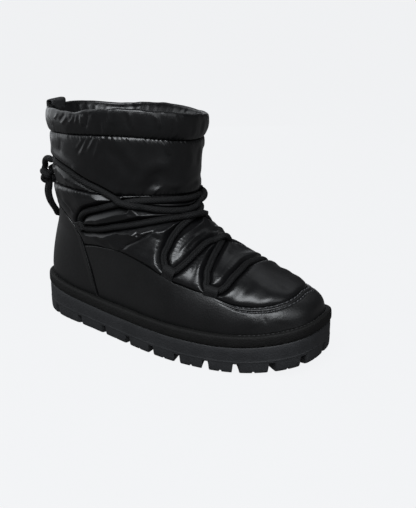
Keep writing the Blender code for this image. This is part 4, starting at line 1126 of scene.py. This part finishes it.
columns = np.arange(UPPER_COLUMNS) / UPPER_COLUMNS
start = np.maximum(leather_top(columns) - EDGE_MARGIN, 0.02)
hidden = np.linspace(0.0, 1.0, HIDDEN_ROWS, endpoint=False)[:, None] * start[None, :]
ankle_seam, cuff_seam = seam_line(ANKLE_SEAM, columns), seam_line(CUFF_SEAM, columns)
shown = np.linspace(start, ankle_seam - SEAM_HALF_GAP, FOOT_ROWS)
foot_up = np.concatenate([hidden, shown])
foot_around = np.tile(columns, (len(foot_up), 1))
foot_base = upper_surface(foot_around, foot_up)
foot_normal = upper_normal(foot_around, foot_up)
edge_places = np.linspace(0.0, 1.0, 1600)
edge_line = on_upper(edge_places, leather_top(edge_places), 0.0)
edge_distance = nearest_on(edge_line, foot_base)[0]
outside = foot_up > leather_top(foot_around)
foot_lift = np.where(outside, EDGE_SWELL * (1.0 - np.exp(-edge_distance / EDGE_SWELL_SPAN)), 0.0)
foot_lift += creases(foot_base, foot_normal, FOOT_CREASES) * outside
for seam_route in (QUARTER_SEAM, mirrored(QUARTER_SEAM)):
    foot_lift += crease_lift(
        foot_base, foot_normal, "trough", QUARTER_SEAM_HALF, QUARTER_SEAM_DEPTH, seam_route) * outside
foot_lift += rumple(foot_base, *FOOT_RUMPLE) * outside
foot_lift += seam_lift(foot_around, foot_up, ankle_seam, ANKLE_SEED_FOOT)
foot_pressed = np.maximum(lace_bed(foot_base, foot_lift), -BED_DEPTH)
foot_lift = np.where(outside, foot_pressed, np.minimum(foot_lift, 0.0) - UNDER_LEATHER)
foot_inner = np.linspace(ankle_seam - SEAM_HALF_GAP, 0.0 * columns, LINING_ROWS)
chamber("nylon_foot", foot_around, foot_up, foot_lift, None, foot_inner, -wall_thickness(foot_inner), False)

shaft_up = np.linspace(ankle_seam + SEAM_HALF_GAP, cuff_seam - SEAM_HALF_GAP, SHAFT_ROWS)
shaft_around = np.tile(columns, (SHAFT_ROWS, 1))
shaft_base = upper_surface(shaft_around, shaft_up)
shaft_normal = upper_normal(shaft_around, shaft_up)
shaft_share = (shaft_up - ankle_seam) / (cuff_seam - ankle_seam)
shaft_lift = SHAFT_SWELL * np.sin(np.pi * shaft_share) ** 0.7
shaft_lift += seam_lift(shaft_around, shaft_up, ankle_seam, ANKLE_SEED_SHAFT)
shaft_lift += seam_lift(shaft_around, shaft_up, cuff_seam, CUFF_SEED_SHAFT)
shaft_lift += creases(shaft_base, shaft_normal, SHAFT_CREASES)
shaft_lift += rumple(shaft_base, *SHAFT_RUMPLE)
shaft_lift = lace_bed(shaft_base, shaft_lift)
shaft_inner = np.linspace(cuff_seam - SEAM_HALF_GAP, ankle_seam + SEAM_HALF_GAP, LINING_ROWS)
chamber(
    "nylon_shaft", shaft_around, shaft_up, shaft_lift,
    None, shaft_inner, -wall_thickness(shaft_inner), False)

cuff_up = np.linspace(cuff_seam + SEAM_HALF_GAP, np.ones(UPPER_COLUMNS), CUFF_ROWS)
cuff_around = np.tile(columns, (CUFF_ROWS, 1))
cuff_base = upper_surface(cuff_around, cuff_up)
cuff_normal = upper_normal(cuff_around, cuff_up)
cuff_share = (cuff_up - cuff_seam) / (1.0 - cuff_seam)
cuff_lift = CUFF_SWELL * np.sin(np.pi * np.minimum(cuff_share, 0.999)) ** 0.7
cuff_lift += CUFF_SEAM_SHARE * seam_lift(cuff_around, cuff_up, cuff_seam, CUFF_SEED_CUFF)
cuff_lift += (1.0 - CUFF_SEAM_SHARE) * seam_pull(seam_distance(cuff_around, cuff_up, cuff_seam)[0])
cuff_lift += creases(cuff_base, cuff_normal, CUFF_CREASES)
cuff_lift += rumple(cuff_base, *CUFF_RUMPLE)
rim_line = (1.0 - NEARBY) * np.ones(UPPER_COLUMNS)
rim_above, rim_run, rim_total = seam_distance(cuff_around, cuff_up, rim_line)
cuff_lift += RIM_GATHER_SHARE * gathers(rim_above, rim_run, rim_total, RIM_GATHERS, RIM_SEED)
rim_turn = np.linspace(0.0, np.pi, RIM_ROWS + 2)[1:-1, None] * np.ones(UPPER_COLUMNS)
rim_around = np.tile(columns, (RIM_ROWS, 1))
rim_wave = rumple(upper_surface(rim_around, np.ones(rim_around.shape)), *RIM_RUMPLE)
rim_lift = cuff_lift[-1] - RIM_ROUND * (1.0 - np.cos(rim_turn))
rim = on_upper(rim_around, np.ones(rim_around.shape), rim_lift)
rim[..., 2] += (RIM_ROUND + rim_wave) * np.sin(rim_turn)
facing_up = np.linspace(np.ones(UPPER_COLUMNS), cuff_seam + SEAM_HALF_GAP, FACING_ROWS)
facing_around = np.tile(columns, (FACING_ROWS, 1))
facing_above, facing_run, facing_total = seam_distance(facing_around, facing_up, rim_line)
deepen = ease(1.0 - facing_up, 0.0, FACING_SPAN)
facing_lift = (cuff_lift[-1] - 2.0 * RIM_ROUND) * (1.0 - deepen) - COLLAR_WALL * deepen
facing_folds = FACING_GATHER_SHARE * gathers(
    facing_above, facing_run, facing_total, RIM_GATHERS, FACING_SEED)
facing_folds += rumple(upper_surface(facing_around, facing_up), *FACING_RUMPLE)
facing_lift += facing_folds * ease(1.0 - facing_up, 0.0, 0.25 * FACING_SPAN)
chamber("nylon_cuff", cuff_around, cuff_up, cuff_lift, rim, facing_up, facing_lift, True)

# Leather: smooth black leather cut to two shapes, glued over the nylon and sewn along its edges.
# The mudguard runs from the counter round the toe, with two sunk rows of stitches along its edge there;
# a narrow sunk gap parts its ends from the heel counter.
OVERLAY_GAP, LEATHER = 0.0007, 0.0014
MUDGUARD_EDGE = (
    (0.000, 0.178), (0.055, 0.155), (0.100, 0.145), (0.134, 0.165), (0.152, 0.202),
    (0.198, 0.260), (0.220, 0.322), (0.250, 0.368), (0.300, 0.348), (0.345, 0.292),
)
COUNTER_EDGE = (
    (0.000, 0.1740), (0.150, 0.1690), (0.300, 0.1610), (0.384, 0.1570),
    (0.468, 0.1480), (0.520, 0.1300), (0.552, 0.1000), (0.570, 0.0650),
)
COUNTER_TOP = 0.570
PANEL_SEAM = 0.0042
EDGE_THIN, GUARD_CLOSE, GUARD_CLOSE_POWER = 0.55, 0.08, 1.9
MUDGUARD_COLUMNS, MUDGUARD_ROWS = 380, 44
COUNTER_COLUMNS, COUNTER_ROWS = 110, 90
EDGE_ROUND = 0.0004
TOE_SEAM_SPAN = (0.130, 0.152)
TOE_GROOVE, TOE_GROOVE_HALF = 0.0010, 0.0010
TOE_STITCH_ROWS = (0.0010, 0.0046)
TOE_STITCH = (0.0033, 0.0012, 0.0009)
TOE_STITCH_PITCH = 0.0045
GUARD_RUMPLE, COUNTER_RUMPLE, RUMPLE_FROM_EDGE = (28.0, 0.0004, 23.0), (24.0, 0.0004, 29.0), 0.010
COUNTER_LIP, COUNTER_LIP_SPAN = 0.0005, (0.001, 0.006)
LEATHER_CREASES = (
    ("trough", 0.0011, 0.0005, ((0.404, 0.122), (0.400, 0.090), (0.401, 0.050))),
    ("ridge", 0.0040, 0.0004, ((0.386, 0.110), (0.384, 0.080), (0.386, 0.040))),
    ("ridge", 0.0060, 0.0004, ((0.420, 0.110), (0.424, 0.080), (0.420, 0.040))),
)


def counter_edge(up):
    """How far around the counter reaches at that height."""
    table = np.array(COUNTER_EDGE)
    return curve_through(table[:, 0], table[:, 1], up)


def mudguard_edge(around):
    """How high the mudguard reaches at that place around the boot."""
    table = np.array(MUDGUARD_EDGE)
    return curve_through(table[:, 0], table[:, 1], np.abs(around - 0.5))


def leather_panel(name, node, around, up, lift, edge_distance):
    """Closed leather piece over a grid of places, with its cut edges rounded."""
    rounding = np.clip(1.0 - edge_distance / EDGE_ROUND, 0.0, 1.0)
    thickness = LEATHER * (1.0 - EDGE_THIN * rounding**2)
    outer = on_upper(around, up, OVERLAY_GAP + thickness + lift).reshape(-1, 3)
    inner = on_upper(around, up, OVERLAY_GAP - 0.0003).reshape(-1, 3)
    faces = grid_faces(*around.shape, False, False)
    shift = around.size
    faces = [face[::-1] for face in faces] + [[corner + shift for corner in face] for face in faces]
    faces += border_faces(*around.shape, shift)
    panel = mesh_object(name, np.concatenate([inner, outer]), faces, [leather_finish], 60.0)
    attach(panel, "root")
    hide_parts(node)
    return panel


leather_finish, leather_shader = toned_finish(
    "smooth_leather", (0.0032, 0.0032, 0.0034), (0.0052, 0.0052, 0.0055), 35.0, 0.36, 0.46)
put_relief(leather_finish, leather_shader, 0.00022, grain_group, Cells=800.0, Waves=38.0, Wave_Share=0.65)

toe_thread_finish = toned_finish(
    "toe_thread", (0.024, 0.024, 0.026), (0.058, 0.058, 0.061), 300.0, 0.36, 0.50)[0]

# Rows close up towards the edges, where the leather is rounded off
even = np.linspace(-1.0, 1.0, MUDGUARD_COLUMNS)
share = 0.5 + 0.5 * (even * (1.0 - GUARD_CLOSE) + GUARD_CLOSE * np.sin(0.5 * np.pi * even))
height = 1.0 - (1.0 - np.linspace(0.0, 1.0, MUDGUARD_ROWS)) ** GUARD_CLOSE_POWER
share, height = share[None, :] * np.ones((MUDGUARD_ROWS, 1)), height[:, None] * np.ones(MUDGUARD_COLUMNS)
guard_up = 0.2 * height
for settle in range(4):
    guard_start = counter_edge(guard_up) + PANEL_SEAM
    guard_around = guard_start + (1.0 - 2.0 * guard_start) * share
    guard_up = height * mudguard_edge(guard_around)
guard_base = upper_surface(guard_around, guard_up)
guard_normal = upper_normal(guard_around, guard_up)
below_edge = np.linalg.norm(guard_base - guard_base[-1][None, :, :], axis=-1)
behind_toe = np.abs(guard_around - 0.5)
at_toe = 1.0 - ease(behind_toe, *TOE_SEAM_SPAN)
guard_lift = creases(guard_base, guard_normal, LEATHER_CREASES)
for below in TOE_STITCH_ROWS:
    guard_lift -= TOE_GROOVE * at_toe * np.exp(-(((below_edge - below) / TOE_GROOVE_HALF) ** 2))
guard_lift += rumple(guard_base, *GUARD_RUMPLE) * ease(below_edge, 0.0, RUMPLE_FROM_EDGE)
leather_panel("leather_mudguard", "mudguard", guard_around, guard_up, guard_lift, below_edge)

height = np.sin(np.linspace(0.0, 0.5 * np.pi, COUNTER_ROWS))
counter_up = COUNTER_TOP * height[:, None] * np.ones(COUNTER_COLUMNS)
share = np.sin(0.5 * np.pi * np.linspace(-1.0, 1.0, COUNTER_COLUMNS))[None, :]
counter_around = counter_edge(counter_up) * share
counter_base = upper_surface(counter_around, counter_up)
to_side = np.minimum(
    np.linalg.norm(counter_base - counter_base[:, :1], axis=-1),
    np.linalg.norm(counter_base - counter_base[:, -1:], axis=-1))
to_edge = np.minimum(to_side, np.linalg.norm(counter_base - counter_base[-1:], axis=-1))
counter_lift = rumple(counter_base, *COUNTER_RUMPLE) * ease(to_edge, 0.0, RUMPLE_FROM_EDGE)
counter_lift += COUNTER_LIP * (1.0 - ease(to_edge, *COUNTER_LIP_SPAN))
leather_panel("leather_counter", "heel_counter", counter_around, counter_up, counter_lift, to_edge)

seam_around = np.linspace(0.5 - TOE_SEAM_SPAN[0], 0.5 + TOE_SEAM_SPAN[0], 900)
for number, below in enumerate(TOE_STITCH_ROWS):
    top = on_upper(seam_around, mudguard_edge(seam_around), 0.0)
    under = on_upper(seam_around, mudguard_edge(seam_around) - 0.02, 0.0)
    step_up = 0.02 * below / np.linalg.norm(top - under, axis=-1)
    line_up = mudguard_edge(seam_around) - step_up
    line = on_upper(seam_around, line_up, OVERLAY_GAP + LEATHER - TOE_GROOVE + 0.0002)
    centres, along = along_line(line, TOE_STITCH_PITCH)
    nearest = nearest_on(line, centres)[1]
    out = upper_normal(seam_around[nearest], line_up[nearest])
    out = out - along * np.sum(out * along, axis=-1, keepdims=True)
    out = out / np.linalg.norm(out, axis=-1, keepdims=True)
    stitching = row_of_stitches(
        "toe_stitching_%d" % number, centres, along, out, TOE_STITCH, toe_thread_finish)
    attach(stitching, "root")

# Pull loop: a folded strip of ribbed black webbing over the back of the collar.
# One end is sewn to the outside of the cuff and one into its rim; the fold stands up as a finger loop.
LOOP_AROUND = 0.021
LOOP_WIDTH, LOOP_THICKNESS = 0.022, 0.0016
LOOP_STAND, LOOP_INSIDE, LOOP_OUTSIDE, LOOP_DEPTH = 0.0052, 0.004, 0.018, 0.0036
LOOP_SEAT, LOOP_SQUARENESS = 0.0010, 0.6
TAPE_SECTION, TAPE_SIDE_POWER, TAPE_FACE_POWER = 20, 0.35, 0.55


def tape(name, path, across, width, thickness, finish):
    """Flat woven strip along a path, with rounded edges; its run and side are kept for the weave."""
    path = np.asarray(path, float)
    across = np.asarray(across, float) / np.linalg.norm(across)
    along = np.gradient(path, axis=0)
    face = np.cross(along, across)
    face = face / np.linalg.norm(face, axis=1, keepdims=True)
    turn = np.linspace(0.0, 2.0 * np.pi, TAPE_SECTION, endpoint=False)
    wide = 0.5 * width * np.sign(np.cos(turn)) * np.abs(np.cos(turn)) ** TAPE_SIDE_POWER
    thick = 0.5 * thickness * np.sign(np.sin(turn)) * np.abs(np.sin(turn)) ** TAPE_FACE_POWER
    points = path[:, None, :] + across * wide[None, :, None] + face[:, None, :] * thick[None, :, None]
    faces = grid_faces(len(path), TAPE_SECTION, False, True)
    last = TAPE_SECTION * (len(path) - 1)
    faces.append(list(reversed(range(TAPE_SECTION))))
    faces.append(list(range(last, last + TAPE_SECTION)))
    item = mesh_object(name, points.reshape(-1, 3), faces, [finish], 60.0)
    run = np.zeros((len(path), TAPE_SECTION, 3))
    run[..., 0] = run_length(path)[:, None]
    run[..., 1] = wide[None, :]
    keep_run(item, run)
    return item


def keep_run(item, run):
    """Keep distances along and across a woven piece on its points."""
    kept = item.data.attributes.new("run", "FLOAT_VECTOR", "POINT")
    kept.data.foreach_set("vector", run.reshape(-1).astype(np.float32))


# Shared effect: crossing threads of webbing and braid, from distances along and across the piece
weave_group, weave_in, weave_out = shared_effect(
    "weave",
    (("Along", "NodeSocketFloat", 5000.0),
     ("Across", "NodeSocketFloat", 5000.0),
     ("Slant", "NodeSocketFloat", 0.0)),
    (("Height", "NodeSocketFloat"),),
)
weave_run = add_node(weave_group, "ShaderNodeAttribute", attribute_name="run")
weave_split = add_node(weave_group, "ShaderNodeSeparateXYZ", [(weave_run.outputs["Vector"], 0)])
weave_x = add_node(
    weave_group, "ShaderNodeMath",
    [(weave_split.outputs["X"], 0), (weave_in.outputs["Along"], 1)], operation="MULTIPLY")
weave_y = add_node(
    weave_group, "ShaderNodeMath",
    [(weave_split.outputs["Y"], 0), (weave_in.outputs["Across"], 1)], operation="MULTIPLY")
weave_lean = add_node(
    weave_group, "ShaderNodeMath",
    [(weave_x.outputs[0], 0), (weave_in.outputs["Slant"], 1), (weave_y.outputs[0], 2)],
    operation="MULTIPLY_ADD")
weave_first = add_node(weave_group, "ShaderNodeMath", [(weave_lean.outputs[0], 0)], operation="SINE")
weave_back = add_node(
    weave_group, "ShaderNodeMath",
    [(weave_y.outputs[0], 0), (weave_x.outputs[0], 1)], operation="SUBTRACT")
weave_second = add_node(weave_group, "ShaderNodeMath", [(weave_back.outputs[0], 0)], operation="SINE")
weave_height = add_node(
    weave_group, "ShaderNodeMath",
    [(weave_first.outputs[0], 0), (weave_second.outputs[0], 1)], operation="MAXIMUM")
weave_group.links.new(weave_height.outputs[0], weave_out.inputs["Height"])

webbing_finish, webbing_shader = toned_finish(
    "webbing", (0.0150, 0.0150, 0.0158), (0.0260, 0.0260, 0.0272), 200.0, 0.60, 0.78)
put_relief(webbing_finish, webbing_shader, 0.00018, weave_group, Along=4200.0, Across=4200.0, Slant=0.0)

loop_place = np.array(LOOP_AROUND), np.array(1.0)
loop_foot = upper_surface(*loop_place)
loop_out = upper_normal(*loop_place) * (1.0, 1.0, 0.0)
loop_out = loop_out / np.linalg.norm(loop_out)
loop_across = np.cross((0.0, 0.0, 1.0), loop_out)
outside = 0.5 * LOOP_THICKNESS + LOOP_SEAT
inside = -LOOP_DEPTH
middle, radius = 0.5 * (outside + inside), 0.5 * (outside - inside)
loop_profile = [(inside, height) for height in np.linspace(-LOOP_INSIDE, 0.0, 9)]
for angle in np.radians(np.linspace(0.0, 180.0, 31)):
    reach = np.sign(math.cos(angle)) * abs(math.cos(angle)) ** LOOP_SQUARENESS
    stand = LOOP_STAND - radius + radius * math.sin(angle) ** LOOP_SQUARENESS
    loop_profile.append((middle - radius * reach, stand))
loop_profile += [(outside, height) for height in np.linspace(-0.002, -LOOP_OUTSIDE, 13)]
loop_path = [loop_foot + loop_out * away + np.array((0.0, 0.0, height)) for away, height in loop_profile]
pull_loop = tape("webbing_pull_loop", loop_path, loop_across, LOOP_WIDTH, LOOP_THICKNESS, webbing_finish)
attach(pull_loop, "root")
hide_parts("pull_loop")

# Lace loops: short folded tabs of black webbing, caught under the leather's edge with both ends.
# Two on the vamp and one at the ankle, on each side; the lace turns round inside them.
TAB_THICKNESS = 0.0011
TAB_RADIUS = LACE_RADIUS + 0.55 * TAB_THICKNESS
TAB_ROOT_LIFT = 0.0003, 0.0011
# Tabs on the outer side: place of the ends under the leather's edge, place of the fold, width
TABS = (
    ("vamp_loop_front", (0.3425, 0.190), (0.3540, 0.241), 0.0120),
    ("vamp_loop_back", (0.2965, 0.262), (0.3130, 0.327), 0.0112),
    ("ankle_loop", (0.1480, 0.440), (0.1800, 0.496), 0.0085),
)


tab_finish, tab_shader = toned_finish(
    "tab_webbing", (0.0034, 0.0034, 0.0037), (0.0066, 0.0066, 0.0070), 200.0, 0.66, 0.82)
tab_shader.inputs["Specular IOR Level"].default_value = 0.30
put_relief(tab_finish, tab_shader, 0.00018, weave_group, Along=4200.0, Across=4200.0, Slant=0.0)


def lace_tab(name, root, fold, width):
    """Tab folded round the lace, with both of its ends leading back under the leather."""
    root_place = np.array(root[0]), np.array(root[1])
    fold_place = np.array(fold[0]), np.array(fold[1])
    foot, foot_normal = upper_surface(*root_place), upper_normal(*root_place)
    centre, normal = upper_surface(*fold_place), upper_normal(*fold_place)
    ahead = centre - foot
    ahead = ahead - normal * np.dot(ahead, normal)
    ahead = ahead / np.linalg.norm(ahead)
    path = []
    for share in np.linspace(0.0, 1.0, 8, endpoint=False):
        level = TAB_ROOT_LIFT[0] + (LACE_TURN_LIFT - TAB_RADIUS - TAB_ROOT_LIFT[0]) * share
        path.append(on_upper(*(np.array(root) * (1.0 - share) + np.array(fold) * share), level))
    for angle in np.radians(np.linspace(-90.0, 90.0, 17)):
        path.append(centre + ahead * TAB_RADIUS * math.cos(angle)
                    + normal * (LACE_TURN_LIFT + TAB_RADIUS * math.sin(angle)))
    for share in np.linspace(0.0, 1.0, 10)[1:]:
        drop = LACE_TURN_LIFT + TAB_RADIUS
        level = drop + (TAB_ROOT_LIFT[1] - drop) * ease(share, 0.0, 1.0)
        path.append(on_upper(*(np.array(fold) * (1.0 - share) + np.array(root) * share), level))
    tab = tape("webbing_" + name, path, np.cross(normal, ahead), width, TAB_THICKNESS, tab_finish)
    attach(tab, "root")
    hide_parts(name)


for tab_name, root, fold, width in TABS:
    lace_tab(tab_name + "_outer", root, fold, width)
    lace_tab(tab_name + "_inner", (1.0 - root[0], root[1]), (1.0 - fold[0], fold[1]), width)

# Lace: one round braided cord, matt black, wound over vamp and ankle and through the tabs.
# It starts and ends at the knot behind the heel; where it crosses itself one strand rides over the other.
LACE_SIDES, LACE_TIP_TAPER, LACE_TIP_STEP = 14, 0.86, 0.20


def braided_tube(name, path, radius, finish, closed=False):
    """Round cord along a path, with rounded ends; its run and girth are kept for the braid."""
    path = np.asarray(path, float)
    if closed:
        along = np.roll(path, -1, axis=0) - np.roll(path, 1, axis=0)
    else:
        along = np.gradient(path, axis=0)
    along = along / np.linalg.norm(along, axis=1, keepdims=True)
    side = np.cross(along[0], (0.0, 0.0, 1.0))
    turn = np.linspace(0.0, 2.0 * np.pi, LACE_SIDES, endpoint=False)
    points = np.zeros((len(path), LACE_SIDES, 3))
    for index, (centre, forward) in enumerate(zip(path, along)):
        side = side - forward * np.dot(side, forward)
        side = side / np.linalg.norm(side)
        other = np.cross(forward, side)
        points[index] = centre + radius * (np.cos(turn)[:, None] * side + np.sin(turn)[:, None] * other)
    faces = grid_faces(len(path), LACE_SIDES, closed, True)
    run = np.zeros((len(path), LACE_SIDES, 3))
    run[..., 0] = run_length(path)[:, None]
    run[..., 1] = radius * turn[None, :]
    if not closed:
        for row, outward in ((0, -along[0]), (len(path) - 1, along[-1])):
            points[row] = path[row] + (points[row] - path[row]) * LACE_TIP_TAPER
            points[row] += LACE_TIP_STEP * radius * outward * np.ones((LACE_SIDES, 1))
        last = LACE_SIDES * (len(path) - 1)
        faces.append(list(reversed(range(LACE_SIDES))))
        faces.append(list(range(last, last + LACE_SIDES)))
    item = mesh_object(name, points.reshape(-1, 3), faces, [finish], 70.0)
    keep_run(item, run)
    return item


lace_finish, lace_shader = toned_finish(
    "lace_cord", (0.0028, 0.0028, 0.0031), (0.0052, 0.0052, 0.0056), 240.0, 0.66, 0.84)
lace_shader.inputs["Specular IOR Level"].default_value = 0.26
put_relief(lace_finish, lace_shader, 0.00022, weave_group, Along=2600.0, Across=2910.0, Slant=1.0)

lace = braided_tube("lace", lace_path, LACE_RADIUS, lace_finish)
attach(lace, "root")
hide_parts("lace_front_bar", "lace_vamp_cross", "lace_ankle_wrap", "lace_slack")

# Knot: an overhand knot in both strands of the lace, pulled tight behind the heel.
# It is drawn as a closed three-lobed turn of the same cord, into which the strands run.
KNOT = (0.048, 0.703, 0.0100)
KNOT_TURNS, KNOT_SIZE, KNOT_THICK, KNOT_FULL = 200, 0.00180, 0.0034, 1.06

angle = np.linspace(0.0, 2.0 * np.pi, KNOT_TURNS, endpoint=False)
knot_line = np.stack([
    KNOT_THICK * -np.sin(3.0 * angle),
    KNOT_SIZE * (np.sin(angle) + 2.0 * np.sin(2.0 * angle)),
    KNOT_SIZE * (np.cos(angle) - 2.0 * np.cos(2.0 * angle)),
], axis=-1)
knot_centre = on_upper(*KNOT)
knot = braided_tube("lace_tied_knot", knot_centre + knot_line, KNOT_FULL * LACE_RADIUS, lace_finish, True)
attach(knot, "root")
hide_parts("lace_knot")

# Lace ends: the two free ends of the lace, cut square.
# They hang side by side from the knot and rest on the heel counter.
LACE_ENDS = (
    ("lace_end_outer", (
        (0.0515, 0.690, 0.0092), (0.0530, 0.654, 0.0088), (0.0515, 0.604, 0.0104), (0.0460, 0.540, 0.0104),
        (0.0380, 0.468, 0.0088), (0.0310, 0.412, 0.0066), (0.0260, 0.380, 0.0053),
    )),
    ("lace_end_inner", (
        (0.0440, 0.690, 0.0100), (0.0410, 0.657, 0.0112), (0.0350, 0.590, 0.0142), (0.0280, 0.520, 0.0144),
        (0.0200, 0.432, 0.0120), (0.0120, 0.378, 0.0086), (0.0070, 0.352, 0.0066),
    )),
)

for end_name, route in LACE_ENDS:
    end_path = on_upper(*smooth_line(np.array(route), LACE_STEP))
    lace_end = braided_tube(end_name + "_cord", end_path, LACE_RADIUS, lace_finish)
    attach(lace_end, "root")
    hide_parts(end_name)
